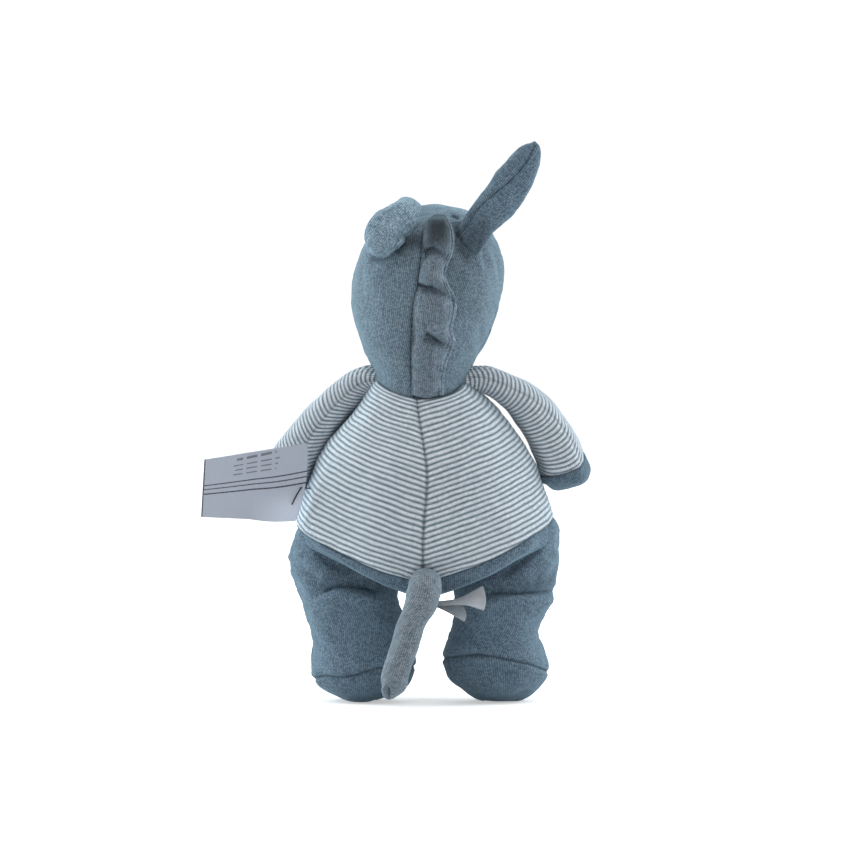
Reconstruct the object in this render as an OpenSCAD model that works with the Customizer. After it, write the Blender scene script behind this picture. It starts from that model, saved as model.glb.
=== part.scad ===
// Long-eared plush animal in a striped jersey, standing on its own feet.
// Z is up, the back faces -Y and the face looks along +Y, so +X is the toy's right.
// The origin lies on the floor, midway between the feet. All lengths are in millimetres.

/* [Body] */
// Full width of the belly
belly_w = 162; // [150:1:168]
// Full depth of the belly, front to back
belly_d = 104; // [96:1:112]
// Height of the garment's hem at the sides
hem_side_z = 107; // [103:1:112]
// Height of the garment's hem at the centre of the back
hem_back_z = 74; // [70:1:80]
// Height of the garment's hem at the centre of the front
hem_front_z = 98; // [95:1:102]
// Height of the neckline at the centre of the back
neck_back_z = 183; // [180:1:186]
// Height of the neckline at the sides
neck_side_z = 195; // [192:1:196]

/* [Head] */
// Full width of the head
head_w = 90; // [84:1:94]
// Full depth of the head without the muzzle
head_d = 86; // [80:1:90]
// Height of the head's top above the floor
head_top_z = 299; // [297:1:302]
// Width of the mane where it lies on the head
mane_w = 18; // [14:1:22]
// Thickness of the gathered mane
mane_t = 4.2; // [3:0.2:5]
// How far the muzzle stands out from the face
muzzle_l = 24; // [18:1:28]
// Diameter of an eye
eye_d = 8; // [6:0.5:9]

/* [Ears] */
// Full width of an ear at its widest
ear_w = 22; // [18:1:24]
// Full thickness of a stuffed ear
ear_t = 8; // [6:0.5:9]

/* [Arms] */
// Diameter of the sleeve at its hem
sleeve_d = 30; // [27:0.5:31]
// Length of the bare hand below the sleeve
hand_l = 18; // [15:1:20]

/* [Legs] */
// Full width of a leg at the hip
hip_w = 60; // [54:1:61]
// Height of the hip crease, where the leg folds
hip_z = 60; // [58:1:61]
// Diameter of the leg's rounded top, about the fold
hip_d = 52; // [46:1:53]
// Full width of a foot
foot_w = 62; // [56:1:64]
// Length of a foot, heel to toe
foot_l = 70; // [62:1:76]

/* [Tail] */
// Diameter of the tail at its root
tail_d = 18.5; // [15:0.5:19]
// Length of the tail
tail_l = 80; // [70:1:81]

/* [Labels] */
// Width of the paper hang tag
tag_w = 62; // [50:1:66]
// Height of the hang tag's fixed edge
tag_h = 46; // [36:1:50]
// Width of the woven care label
label_w = 14; // [10:1:16]

/* [Cloth] */
// Thickness of the knitted jersey
cloth_t = 0.9; // [0.7:0.1:1.2]

/* [Hidden] */

left = -1;
right = 1;
// Gap between a cover and the filling inside it
fill_gap = 1.2;
fill_in = cloth_t + fill_gap;

plain_blue = "#5f7688";
stripe_blue = "#9fabb6";
pale_blue = "#8296a6";
wool_white = "#e8e6e0";
satin_white = "#eef0f2";
card_white = "#dfe4ea";
dark = "#24272b";

// ---- Smooth curves through a few rows; a row's first number is its parameter ----

function span(rows, t, i = 0) =
    (i >= len(rows) - 2 || t < rows[i + 1][0]) ? i : span(rows, t, i + 1);

function slope(rows, i) =
    let (a = rows[max(i - 1, 0)], b = rows[min(i + 1, len(rows) - 1)])
    (b - a) / (b[0] - a[0]);

// The row at parameter t, by a Hermite cubic between the two rows beside it
function curve(rows, t) =
    let (i = span(rows, t), a = rows[i], b = rows[i + 1])
    let (h = b[0] - a[0], s = (t - a[0]) / h)
    a * (2 * pow(s, 3) - 3 * pow(s, 2) + 1) + b * (3 * pow(s, 2) - 2 * pow(s, 3))
    + slope(rows, i) * h * (pow(s, 3) - 2 * pow(s, 2) + s)
    + slope(rows, i + 1) * h * (pow(s, 3) - pow(s, 2));

function unit(v) = v / norm(v);

function mix(a, b, s) = a + (b - a) * s;

// ---- Skins: any surface f(u, v) with u in degrees round it and v along it ----

step_u = 0.5;
step_v = 0.002;

// The point of the surface, moved inwards by the given distance
function inset(f, u, v, by) =
    let (along_u = f(u + step_u, v) - f(u - step_u, v))
    let (along_v = f(u, v + step_v) - f(u, v - step_v))
    f(u, v) - by * unit(cross(along_u, along_v));

function quad(a, b, c, d) = [[a, b, c], [a, c, d]];

// A closed panel of cloth between two depths below the surface f. It runs from u0 to u1, and from v0(u) to
// v1(u). With wrap it goes right round, and with shut its far end is closed.
module panel(f, u0, u1, nu, v0, v1, nv, outer = 0, inner = cloth_t, wrap = false, shut = false) {
    cols = wrap ? nu : nu + 1;
    layer = (nv + 1) * cols;
    points = [
        for (by = [outer, inner], j = [0:nv], i = [0:cols - 1])
            let (u = mix(u0, u1, i / nu))
            inset(f, u, mix(v0(u), v1(u), j / nv), by)
    ];
    function at(s, j, i) = s * layer + j * cols + (wrap ? i % nu : i);
    skins = [
        for (j = [0:nv - 1], i = [0:nu - 1])
            each concat(
                quad(at(0, j, i), at(0, j + 1, i), at(0, j + 1, i + 1), at(0, j, i + 1)),
                quad(at(1, j, i), at(1, j, i + 1), at(1, j + 1, i + 1), at(1, j + 1, i)))
    ];
    near_rim = [for (i = [0:nu - 1]) each quad(at(0, 0, i), at(0, 0, i + 1), at(1, 0, i + 1), at(1, 0, i))];
    far_rim = [
        for (i = [0:nu - 1])
            each quad(at(0, nv, i), at(1, nv, i), at(1, nv, i + 1), at(0, nv, i + 1))
    ];
    far_caps = [
        for (i = [1:nu - 2])
            each [
                [at(0, nv, 0), at(0, nv, i + 1), at(0, nv, i)],
                [at(1, nv, 0), at(1, nv, i), at(1, nv, i + 1)]
            ]
    ];
    side_rims = [
        for (j = [0:nv - 1])
            each concat(
                quad(at(0, j, 0), at(1, j, 0), at(1, j + 1, 0), at(0, j + 1, 0)),
                quad(at(0, j, nu), at(0, j + 1, nu), at(1, j + 1, nu), at(1, j, nu)))
    ];
    polyhedron(points, concat(skins, near_rim, shut ? far_caps : far_rim, wrap ? [] : side_rims));
}

// A solid filling under the surface f, with flat ends
module core(f, nu, v0, v1, nv, by = fill_in) {
    points = [
        for (j = [0:nv], i = [0:nu - 1])
            inset(f, 360 * i / nu, mix(v0, v1, j / nv), by)
    ];
    function at(j, i) = j * nu + i % nu;
    sides = [
        for (j = [0:nv - 1], i = [0:nu - 1])
            each quad(at(j, i), at(j + 1, i), at(j + 1, i + 1), at(j, i + 1))
    ];
    near_cap = [for (i = [1:nu - 2]) [at(0, 0), at(0, i), at(0, i + 1)]];
    far_cap = [for (i = [1:nu - 2]) [at(nv, 0), at(nv, i + 1), at(nv, i)]];
    polyhedron(points, concat(sides, near_cap, far_cap));
}

// ---- The body's form: rows of height, half width, half depth and centre depth ----

torso_rows = [
    [58, 0.90 * belly_w / 2, 0.58 * belly_d / 2, 0],
    [74, 0.975 * belly_w / 2, 0.80 * belly_d / 2, 0],
    [90, belly_w / 2, 0.96 * belly_d / 2, 0],
    [108, 0.975 * belly_w / 2, belly_d / 2, 0],
    [133, 0.87 * belly_w / 2, 0.95 * belly_d / 2, 0],
    [151, 0.76 * belly_w / 2, 0.87 * belly_d / 2, 0],
    [166, 0.635 * belly_w / 2, 0.76 * belly_d / 2, 0],
    [182, 0.465 * belly_w / 2, 0.60 * belly_d / 2, 0],
    [194, 0.385 * belly_w / 2, 0.51 * belly_d / 2, 0],
    [200, 0.37 * belly_w / 2, 0.49 * belly_d / 2, 0]
];

torso_surface = function (u, z)
    let (r = curve(torso_rows, z))
    [r[1] * cos(u), r[3] + r[2] * sin(u), z];

// Heights of the edges round the body. The back is at u = 270 degrees.
function backness(u) = max(0, -sin(u));
function frontness(u) = max(0, sin(u));
hem_edge = function (u)
    hem_side_z - (hem_side_z - hem_back_z) * pow(backness(u), 2.6)
    - (hem_side_z - hem_front_z) * pow(frontness(u), 2.6);
neck_edge = function (u)
    neck_side_z - (neck_side_z - neck_back_z) * pow(backness(u), 2)
    - 5 * pow(frontness(u), 2);

hip_r = hip_d / 2;
// The seat's lower edge clears the leg tops in front, where the legs swing up
seat_top_z = hip_z + hip_r + 5;
seat_drop = 27;
seat_edge = function (u) seat_top_z - seat_drop * pow(backness(u), 3);

module torso_panel(u0, u1, nu) {
    color(stripe_blue)
        panel(torso_surface, u0, u1, nu, hem_edge, neck_edge, 11);
}

module torso_back_left() torso_panel(180, 270, 9);
module torso_back_right() torso_panel(270, 360, 9);
module torso_front() torso_panel(0, 180, 16);

keel_w = 26;
keel_d = 44;
keel_bottom_z = seat_top_z - seat_drop;

// The seat: a panel under the hem, and its half of the crotch between the legs
module seat(side) {
    middle = side == left ? 180 : 0;
    color(plain_blue) {
        panel(torso_surface, middle - 90, middle + 90, 20, seat_edge, hem_edge, 3);
        translate([0, 0, keel_bottom_z])
            mirror([side == left ? 1 : 0, 0, 0])
            translate([0.05, -keel_d / 2, 0])
            cube([keel_w / 2, keel_d, seat_top_z - keel_bottom_z]);
    }
}

module torso_stuffing() {
    color(wool_white)
        core(torso_surface, 28, seat_top_z + 0.3, neck_back_z - 2, 10);
}

// ---- The head ----

neck_ball_z = 210;
neck_ball_r = 26;
head_rows = concat(
    [for (a = [75:-25:0])
        [neck_ball_z - neck_ball_r * sin(a), 33 * pow(cos(a), 0.6), neck_ball_r * cos(a) + (a < 10 ? 3 : 0), 0]],
    [
        [223, 0.88 * head_w / 2, 0.81 * head_d / 2, 2],
        [237, 0.97 * head_w / 2, 0.93 * head_d / 2, 3],
        [252, head_w / 2, head_d / 2, 3],
        [266, 0.95 * head_w / 2, 0.97 * head_d / 2, 3],
        [head_top_z - 21, 0.80 * head_w / 2, 0.84 * head_d / 2, 2],
        [head_top_z - 11, 0.57 * head_w / 2, 0.62 * head_d / 2, 1],
        [head_top_z - 4, 0.33 * head_w / 2, 0.37 * head_d / 2, 1],
        [head_top_z, 0.06 * head_w / 2, 0.06 * head_d / 2, 1]
    ]);

// v runs from 0 at the neck to 1 at the top, closer together towards both ends
head_low_z = head_rows[0][0];
function head_height(v) = head_low_z + (head_top_z - head_low_z) * (1 - cos(180 * v)) / 2;
head_surface = function (u, v)
    let (r = curve(head_rows, head_height(v)))
    [r[1] * cos(u), r[3] + r[2] * sin(u), r[0]];
function head_v(z) = acos(1 - 2 * (z - head_low_z) / (head_top_z - head_low_z)) / 180;

head_start = function (u) 0.04;
head_end = function (u) 0.975;
crown_edge = function (u) head_v(head_top_z - 16);
// The side seams lie a little behind the widest line
side_seam_u = 15;

module head_back(u0, u1) {
    color(plain_blue)
        panel(head_surface, u0, u1, 8, head_start, head_end, 14);
}

module head_back_left() head_back(180 + side_seam_u, 270);
module head_back_right() head_back(270, 360 - side_seam_u);

module head_crown() {
    color(pale_blue)
        panel(head_surface, -side_seam_u, 180 + side_seam_u, 16, crown_edge, head_end, 4);
}

module face_panel() {
    color(plain_blue)
        panel(head_surface, -side_seam_u, 180 + side_seam_u, 16, head_start, crown_edge, 12);
}

module head_stuffing() {
    color(wool_white)
        core(head_surface, 24, 0.06, 0.96, 14);
}

// The mane lies folded over to the right of the centre back seam
mane_from_u = 269;
mane_to_u = mane_from_u + mane_w / (head_w / 2) * 180 / PI;
mane_low = function (u) head_v(202);
mane_high = function (u) head_v(head_top_z - 5);

module mane() {
    color(pale_blue)
        panel(head_surface, mane_from_u, mane_to_u, 6, mane_low, mane_high, 14, -mane_t, -0.3);
}

// ---- The muzzle and the face ----

muzzle_z = 230;
muzzle_rx = 24;
muzzle_rz = 19;

// Depth of the face at a given place
function face_y(x, z) =
    let (r = curve(head_rows, z))
    r[3] + r[2] * sqrt(max(0, 1 - pow(x / r[1], 2)));

// u runs round the muzzle as seen from behind, and v from the face to the tip
muzzle_surface = function (u, v)
    let (k = pow(cos(90 * v), 0.6))
    let (base = face_y(muzzle_rx * cos(u), muzzle_z - muzzle_rz * sin(u)) + 0.4)
    let (tip = face_y(0, muzzle_z) + muzzle_l)
    [muzzle_rx * k * cos(u), mix(base, tip, sin(90 * v)), muzzle_z - muzzle_rz * k * sin(u)];
// The filling starts from a flat back, just in front of the face's highest part behind it
muzzle_filling_surface = function (u, v)
    let (k = 0.82 * pow(cos(90 * v), 0.6), back = face_y(0, muzzle_z + 0.82 * muzzle_rz) + 0.6)
    let (front = face_y(0, muzzle_z) + muzzle_l - 2.8)
    [muzzle_rx * k * cos(u), mix(back, front, sin(90 * v)), muzzle_z - muzzle_rz * k * sin(u)];
muzzle_start = function (u) 0.01;
muzzle_end = function (u) 0.97;

module muzzle() {
    color(wool_white)
        panel(muzzle_surface, 0, 360, 20, muzzle_start, muzzle_end, 7, wrap = true, shut = true);
}

module muzzle_filling() {
    color(wool_white)
        core(muzzle_filling_surface, 16, 0.02, 0.95, 6, 0);
}

// Puts its children on a surface point, with their Z along the outward normal
module on_surface(f, u, v, lift) {
    p = inset(f, u, v, -lift);
    n = unit(p - inset(f, u, v, 0));
    translate(p)
        rotate([0, acos(n[2]), atan2(n[1], n[0])])
        children();
}

nostril_r = 2.2;
stitch_t = 1;

module nostrils() {
    color(dark)
        for (u = [-55, -125])
            on_surface(muzzle_surface, u, 0.62, 0.5)
            cylinder(r = nostril_r, h = stitch_t, $fn = 32);
}

module mouth_stitch() {
    color(dark)
        for (u = [55:10:125])
            on_surface(muzzle_surface, u, 0.60, 0.4)
            cylinder(r = 0.8, h = stitch_t, $fn = 24);
}

eye_z = 258;

module eye(side) {
    color(dark)
        on_surface(head_surface, 90 - side * 38, head_v(eye_z), 0.5)
        rotate_extrude($fn = 48)
        intersection() {
            translate([0, 2 - eye_d]) circle(r = eye_d, $fn = 96);
            square([eye_d / 2, eye_d]);
        }
}

// ---- Limbs: a round form along a path of points. A row is [v, x, y, z, half width, half thickness] ----

function limb_dir(rows, v) =
    let (a = curve(rows, v - 0.01), b = curve(rows, v + 0.01))
    unit([b[1] - a[1], b[2] - a[2], b[3] - a[3]]);

// The width runs across the path and the thickness along the given depth direction
function limb_surface(rows, across) = function (u, v)
    let (r = curve(rows, v), dir = limb_dir(rows, v))
    let (depth = unit(cross(dir, across)), wide = unit(cross(depth, dir)))
    [r[1], r[2], r[3]] + wide * r[4] * cos(u) + depth * r[5] * sin(u);

limb_start = function (u) 0.02;
limb_end = function (u) 0.98;

// The upright ear leans out to the right, and the other is folded over and lies on the back of the head
ear_right_rows = [
    [0.00, 25.5, -23, 280.5, 0.36 * ear_w, 0.22 * ear_t],
    [0.12, 29.5, -23, 286.5, 0.42 * ear_w, 0.34 * ear_t],
    [0.35, 38.5, -20.5, 300, 0.50 * ear_w, 0.50 * ear_t],
    [0.60, 48.5, -17, 315, 0.46 * ear_w, 0.48 * ear_t],
    [0.85, 58.5, -14, 329, 0.29 * ear_w, 0.36 * ear_t],
    [1.00, 64, -12.5, 337, 0.8, 0.8]
];
ear_left_rows = [
    [0.00, -9, 7, 301, 3.5, 2.0],
    [0.18, -10, -2, 308, 0.36 * ear_w, 0.30 * ear_t],
    [0.40, -15, -17, 306, 0.50 * ear_w, 0.48 * ear_t],
    [0.62, -22, -31, 296, 0.48 * ear_w, 0.48 * ear_t],
    [0.84, -29, -39, 281, 0.30 * ear_w, 0.38 * ear_t],
    [1.00, -33, -42, 269, 1.0, 1.0]
];
ear_right_surface = limb_surface(ear_right_rows, [1, 0, -0.6]);
ear_left_surface = limb_surface(ear_left_rows, [1, 0.2, 0]);

module ear_half(f, u0, tone) {
    color(tone)
        panel(f, u0, u0 + 180, 6, limb_start, limb_end, 10, 0, 0.7 * cloth_t);
}

module ear_filling(f) {
    color(wool_white)
        core(f, 10, 0.06, 0.94, 8, 0.7 * cloth_t + fill_gap);
}

// An arm hangs out and down from the shoulder. Its rows are for the right side.
hand_start_v = 1 - hand_l / 100;
function arm_rows(side) = [
    [0.00, side * 38, 0, 190.5, 6.5, 6.5],
    [0.15, side * 49, 0, 187, 0.33 * sleeve_d, 0.33 * sleeve_d],
    [0.32, side * 63.5, 0, 177.5, 0.40 * sleeve_d, 0.40 * sleeve_d],
    [0.50, side * 76, 0, 163, 0.45 * sleeve_d, 0.45 * sleeve_d],
    [0.67, side * 83.3, 0, 148, 0.49 * sleeve_d, 0.49 * sleeve_d],
    [0.82, side * 86.8, 0, 137, 0.50 * sleeve_d, 0.50 * sleeve_d],
    [0.92, side * 88, 0, 131, 0.42 * sleeve_d, 0.42 * sleeve_d],
    [0.975, side * 88.5, 0, 127.8, 0.26 * sleeve_d, 0.26 * sleeve_d],
    [1.00, side * 88.5, 0, 127, 0.06 * sleeve_d, 0.06 * sleeve_d]
];
arm_surface = [limb_surface(arm_rows(left), [-0.5, 0, 1]), limb_surface(arm_rows(right), [0.5, 0, 1])];
function pick(side, pair) = pair[side == left ? 0 : 1];

hand_edge = function (u) hand_start_v;
module sleeve(side) {
    color(stripe_blue)
        panel(pick(side, arm_surface), 0, 360, 16, limb_start, hand_edge, 9, wrap = true);
}

module hand(side) {
    color(plain_blue)
        panel(pick(side, arm_surface), 0, 360, 16, hand_edge, limb_end, 6, wrap = true, shut = true);
}

module arm_stuffing(side) {
    color(wool_white)
        core(pick(side, arm_surface), 14, 0.03, 0.955, 12);
}

// A leg: rows of height, half width, half depth, centre across and centre depth. Its top is round about the
// fold, so that it turns under the body without meeting it.
hip_x = 46;
foot_x = 42.5;
foot_y = 5;
function leg_rows() = concat(
    [
        [1.6, 0.64 * foot_w / 2, 0.70 * foot_l / 2, foot_x, foot_y],
        [4, 0.78 * foot_w / 2, 0.84 * foot_l / 2, foot_x, foot_y],
        [9, 0.91 * foot_w / 2, 0.95 * foot_l / 2, foot_x, foot_y],
        [18, foot_w / 2, foot_l / 2, foot_x, foot_y],
        [28, 0.98 * foot_w / 2, 0.94 * foot_l / 2, foot_x, 4],
        [40, 0.90 * foot_w / 2, 0.82 * foot_l / 2, foot_x + 0.5, 1.5],
        [50, 0.92 * foot_w / 2, hip_r + 0.5, foot_x + 2, 0]
    ],
    [for (a = [0:18:90])
        [hip_z + hip_r * sin(a), hip_w / 2 * pow(cos(min(a, 88)), 0.3), max(hip_r * cos(a), 1), hip_x, 0]]);

function leg_form(side) = function (u, z)
    let (r = curve(leg_rows(), z))
    [side * r[3] + r[1] * cos(u), r[4] + r[2] * sin(u), z];
leg_surface = [leg_form(left), leg_form(right)];

sole_floor_z = 1.6;
sole_edge = function (u) 18 + 8 * backness(u) - 4 * frontness(u);
sole_low = function (u) sole_floor_z;
leg_top = function (u) hip_z + hip_r - 1;

module leg_panel(side, u0) {
    color(plain_blue)
        panel(pick(side, leg_surface), u0, u0 + 180, 12, sole_edge, leg_top, 10);
}

module leg_sole(side) {
    f = pick(side, leg_surface);
    outline = [for (i = [0:23]) let (p = f(15 * i, sole_floor_z)) [p[0], p[1]]];
    color(plain_blue) {
        linear_extrude(sole_floor_z) polygon(outline);
        panel(f, 0, 360, 24, sole_low, sole_edge, 4, wrap = true);
    }
}

module leg_stuffing(side) {
    color(wool_white)
        core(pick(side, leg_surface), 20, sole_floor_z + 1.5, hip_z + hip_r - 2.2, 10);
}

// ---- The tail hangs from the seat's centre ----

tail_y = -58;
tail_top_z = 84;
tail_rows = [
    [0.00, 0, tail_y, tail_top_z, 0.14 * tail_d, 0.14 * tail_d],
    [0.05, 0, tail_y, tail_top_z - 2, 0.38 * tail_d, 0.38 * tail_d],
    [0.15, -1, tail_y, tail_top_z - 0.15 * tail_l, 0.50 * tail_d, 0.50 * tail_d],
    [0.50, -11, tail_y, tail_top_z - 0.52 * tail_l, 0.49 * tail_d, 0.49 * tail_d],
    [0.85, -20, tail_y, tail_top_z - 0.86 * tail_l, 0.46 * tail_d, 0.46 * tail_d],
    [0.95, -22, tail_y, tail_top_z - 0.95 * tail_l, 0.33 * tail_d, 0.33 * tail_d],
    [1.00, -23, tail_y, tail_top_z - tail_l, 0.06 * tail_d, 0.06 * tail_d]
];
tail_surface = limb_surface(tail_rows, [-1, 0, 0]);

module tail_cover() {
    color(pale_blue)
        panel(tail_surface, 0, 360, 14, limb_start, limb_end, 11, wrap = true, shut = true);
}

module tail_stuffing() {
    color(wool_white)
        core(tail_surface, 12, 0.05, 0.95, 9);
}

// ---- Labels ----

// A ribbon standing on edge: its middle line in plan, its thickness, and its lower and upper edges
module ribbon(line, t, low, high) {
    translate([0, 0, low])
        linear_extrude(high - low)
        polygon(concat(
            [for (p = line) p + [0, t / 2]],
            [for (i = [len(line) - 1:-1:0]) line[i] - [0, t / 2]]));
}

label_t = 0.5;
label_z = 50;

module care_label_leaf() {
    color(satin_white)
        ribbon([[3, -40.5], [7, -42.5], [14, -43], [24, -43.5]], label_t, label_z, label_z + label_w);
}

module care_label_ribbon() {
    color(satin_white)
        ribbon([[-2, -41], [2, -45.5], [14, -46.5], [37, -47.5]], label_t, label_z + 8, label_z + 8 + label_w);
}

// The hang tag's fixed edge leans along the pin, and the tag turns about the pin like a page
tag_y = -20;
tag_t = 0.5;
pin_low = [-79.8, tag_y - 1, 120];
pin_high = [-74.4, tag_y - 1, 129];
pin_r = 0.45;
tag_top_right = [-71.5, 156];
tag_bottom_right = tag_top_right + [-0.2 * tag_h, -tag_h];

module hang_tag() {
    outline = [
        tag_top_right,
        tag_bottom_right,
        tag_bottom_right + [-0.87 * tag_w, 3],
        tag_top_right + [-tag_w, -10]
    ];
    color(card_white)
        translate([0, tag_y + tag_t / 2, 0])
        rotate([90, 0, 0])
        linear_extrude(tag_t)
        polygon(outline);
}

module rod(a, b, r) {
    d = b - a;
    translate(a)
        rotate([0, acos(d[2] / norm(d)), atan2(d[1], d[0])])
        cylinder(r = r, h = norm(d), $fn = 24);
}

module tag_pin() {
    color(dark) {
        rod(pin_low, pin_high, pin_r);
        translate(pin_high) sphere(r = pin_r * 1.4, $fn = 24);
        rod(pin_high, pin_high + [6, 1, 0], pin_r);
    }
}

torso_back_left();
torso_back_right();
torso_front();
seat(left);  // seat_left
seat(right);  // seat_right
torso_stuffing();
head_back_left();
head_back_right();
head_crown();
face_panel();
head_stuffing();
mane();
muzzle();
muzzle_filling();
nostrils();
mouth_stitch();
eye(left);  // eye_left
eye(right);  // eye_right
ear_half(ear_left_surface, 180, pale_blue);  // ear_left_back
ear_half(ear_left_surface, 0, plain_blue);  // ear_left_front
ear_filling(ear_left_surface);  // ear_left_filling
ear_half(ear_right_surface, 180, pale_blue);  // ear_right_back
ear_half(ear_right_surface, 0, plain_blue);  // ear_right_front
ear_filling(ear_right_surface);  // ear_right_filling
sleeve(left);  // arm_left_sleeve
hand(left);  // arm_left_hand
arm_stuffing(left);  // arm_left_stuffing
sleeve(right);  // arm_right_sleeve
hand(right);  // arm_right_hand
arm_stuffing(right);  // arm_right_stuffing
leg_panel(left, 180);  // leg_left_back
leg_panel(left, 0);  // leg_left_front
leg_sole(left);  // leg_left_sole
leg_stuffing(left);  // leg_left_stuffing
leg_panel(right, 180);  // leg_right_back
leg_panel(right, 0);  // leg_right_front
leg_sole(right);  // leg_right_sole
leg_stuffing(right);  // leg_right_stuffing
tail_cover();
tail_stuffing();
care_label_leaf();
care_label_ribbon();
hang_tag();
tag_pin();
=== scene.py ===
"""A long-eared plush animal in a striped jersey, seen from behind: its covers, seams, labels and looks."""

import math

import bpy
import numpy as np
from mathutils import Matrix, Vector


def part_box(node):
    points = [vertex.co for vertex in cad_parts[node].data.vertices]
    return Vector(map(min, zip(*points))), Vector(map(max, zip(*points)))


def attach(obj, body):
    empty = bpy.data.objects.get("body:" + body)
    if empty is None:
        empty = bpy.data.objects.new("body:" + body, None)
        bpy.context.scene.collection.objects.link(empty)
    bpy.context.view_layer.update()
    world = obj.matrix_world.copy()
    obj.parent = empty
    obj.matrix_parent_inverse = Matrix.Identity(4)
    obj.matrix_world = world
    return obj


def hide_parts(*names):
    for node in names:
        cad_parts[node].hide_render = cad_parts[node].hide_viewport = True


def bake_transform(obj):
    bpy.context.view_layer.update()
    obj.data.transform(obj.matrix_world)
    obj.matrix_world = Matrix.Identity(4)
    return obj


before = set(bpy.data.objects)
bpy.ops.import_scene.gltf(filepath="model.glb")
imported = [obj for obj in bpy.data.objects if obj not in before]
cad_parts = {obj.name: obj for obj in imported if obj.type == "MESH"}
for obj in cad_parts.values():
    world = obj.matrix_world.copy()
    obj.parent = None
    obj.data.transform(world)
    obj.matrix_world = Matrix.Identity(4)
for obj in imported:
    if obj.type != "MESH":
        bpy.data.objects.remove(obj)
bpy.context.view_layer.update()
scene = bpy.context.scene
MM = 0.001
LEFT, RIGHT = -1, 1
SIDES = ((LEFT, "left"), (RIGHT, "right"))


def box_mm(*nodes):
    """The lowest and highest corner of some CAD nodes together, in millimetres."""
    corners = [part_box(n) for n in nodes]
    low = np.min([np.array(c[0]) for c in corners], 0)
    high = np.max([np.array(c[1]) for c in corners], 0)
    return low / MM, high / MM


# ---- Camera: level with the middle of the toy, behind its back, with a long lens ----

VIEW_W = 510.0  # what the picture's width takes in at the toy, in millimetres
VIEW_MID = np.array([-0.6, -10.0, 166.8])
CAMERA_FAR = 2400.0
CAMERA_UP = math.radians(1.0)
SENSOR_W = 36.0

camera_data = bpy.data.cameras.new("camera")
camera = bpy.data.objects.new("camera", camera_data)
scene.collection.objects.link(camera)
camera_data.sensor_width = SENSOR_W
camera_data.lens = SENSOR_W * CAMERA_FAR / VIEW_W
camera_data.clip_start = 0.05
camera_data.clip_end = 40.0
camera.location = (VIEW_MID + CAMERA_FAR * np.array([0, -math.cos(CAMERA_UP), math.sin(CAMERA_UP)])) * MM
camera.rotation_euler = (math.pi / 2 - CAMERA_UP, 0, 0)
scene.camera = camera
scene.view_settings.view_transform = "Standard"
scene.view_settings.look = "None"


# ---- Numbers ----

def unit(v):
    return v / np.maximum(np.linalg.norm(v, axis=-1, keepdims=True), 1e-9)


def mix(a, b, s):
    return a + (b - a) * s


def smooth(x, a, b):
    """0 at a, 1 at b, and level at both."""
    t = np.clip((x - a) / (b - a), 0, 1)
    return t * t * (3 - 2 * t)


def bell(x, width):
    """1 where x is 0, falling away on both sides."""
    return np.exp(-((x / width) ** 2))


def cubic(s):
    """How much of its start, its end and the slopes at both a Hermite cubic holds at s."""
    return 2 * s**3 - 3 * s**2 + 1, 3 * s**2 - 2 * s**3, s**3 - 2 * s**2 + s, s**3 - s**2


def curve(rows, t):
    """The row at t, by a Hermite cubic between the two rows beside it. A row's first number is its key."""
    rows = np.asarray(rows, float)
    t = np.asarray(t, float)
    key = rows[:, 0]
    slope = np.empty_like(rows)
    slope[1:-1] = (rows[2:] - rows[:-2]) / (key[2:] - key[:-2])[:, None]
    slope[0] = (rows[1] - rows[0]) / (key[1] - key[0])
    slope[-1] = (rows[-1] - rows[-2]) / (key[-1] - key[-2])
    i = np.clip(np.searchsorted(key, t, side="right") - 1, 0, len(key) - 2)
    h = (key[i + 1] - key[i])[..., None]
    start, end, leave, arrive = cubic((t - key[i])[..., None] / h)
    return rows[i] * start + rows[i + 1] * end + slope[i] * h * leave + slope[i + 1] * h * arrive


def line_at(rows, t):
    """One smooth value through rows of (key, value)."""
    return curve(rows, t)[..., 1]


def waves(points, size, seed, count=18):
    """Smooth seeded lumps of about the given size, mostly between -1 and 1."""
    r = np.random.default_rng(seed)
    k = unit(r.normal(size=(count, 3))) * (2 * np.pi / size) * r.uniform(0.6, 1.5, (count, 1))
    phase = r.uniform(0, 2 * np.pi, count)
    return np.sin(points @ k.T + phase).sum(-1) / math.sqrt(count) * 0.8


def near_line(q, line):
    """How far each (x, z) point is from a line, where along it from 0 to 1, and how far above it."""
    line = np.asarray(line, float)
    lengths = np.linalg.norm(np.diff(line, axis=0), axis=1)
    starts = np.concatenate([[0], np.cumsum(lengths)])
    best = np.full(q.shape[:-1], 1e9)
    place = np.zeros(q.shape[:-1])
    above = np.zeros(q.shape[:-1])
    for k in range(len(line) - 1):
        a, d = line[k], line[k + 1] - line[k]
        w = np.clip(((q - a) @ d) / (d @ d), 0, 1)
        off = q - a - w[..., None] * d
        dist = np.linalg.norm(off, axis=-1)
        near = dist < best
        best = np.where(near, dist, best)
        place = np.where(near, (starts[k] + w * lengths[k]) / starts[-1], place)
        above = np.where(near, off[..., 1], above)
    return best, place, above


def square_grid(nu, nv):
    """Two grids that run from 0 to 1, the first across and the second up."""
    s = np.linspace(0, 1, nu + 1)[None, :] * np.ones((nv + 1, 1))
    t = np.linspace(0, 1, nv + 1)[:, None] * np.ones((1, nu + 1))
    return s, t


def arcs(p):
    """The distance along each row and up each column of a grid of points."""
    du = np.linalg.norm(np.diff(p, axis=1), axis=-1)
    dv = np.linalg.norm(np.diff(p, axis=0), axis=-1)
    across = np.concatenate([np.zeros((len(du), 1)), np.cumsum(du, 1)], 1)
    up = np.concatenate([np.zeros((1, dv.shape[1])), np.cumsum(dv, 0)], 0)
    return across, up


# ---- Surfaces f(u, v): u in degrees round it from +X, and v along it ----

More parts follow.
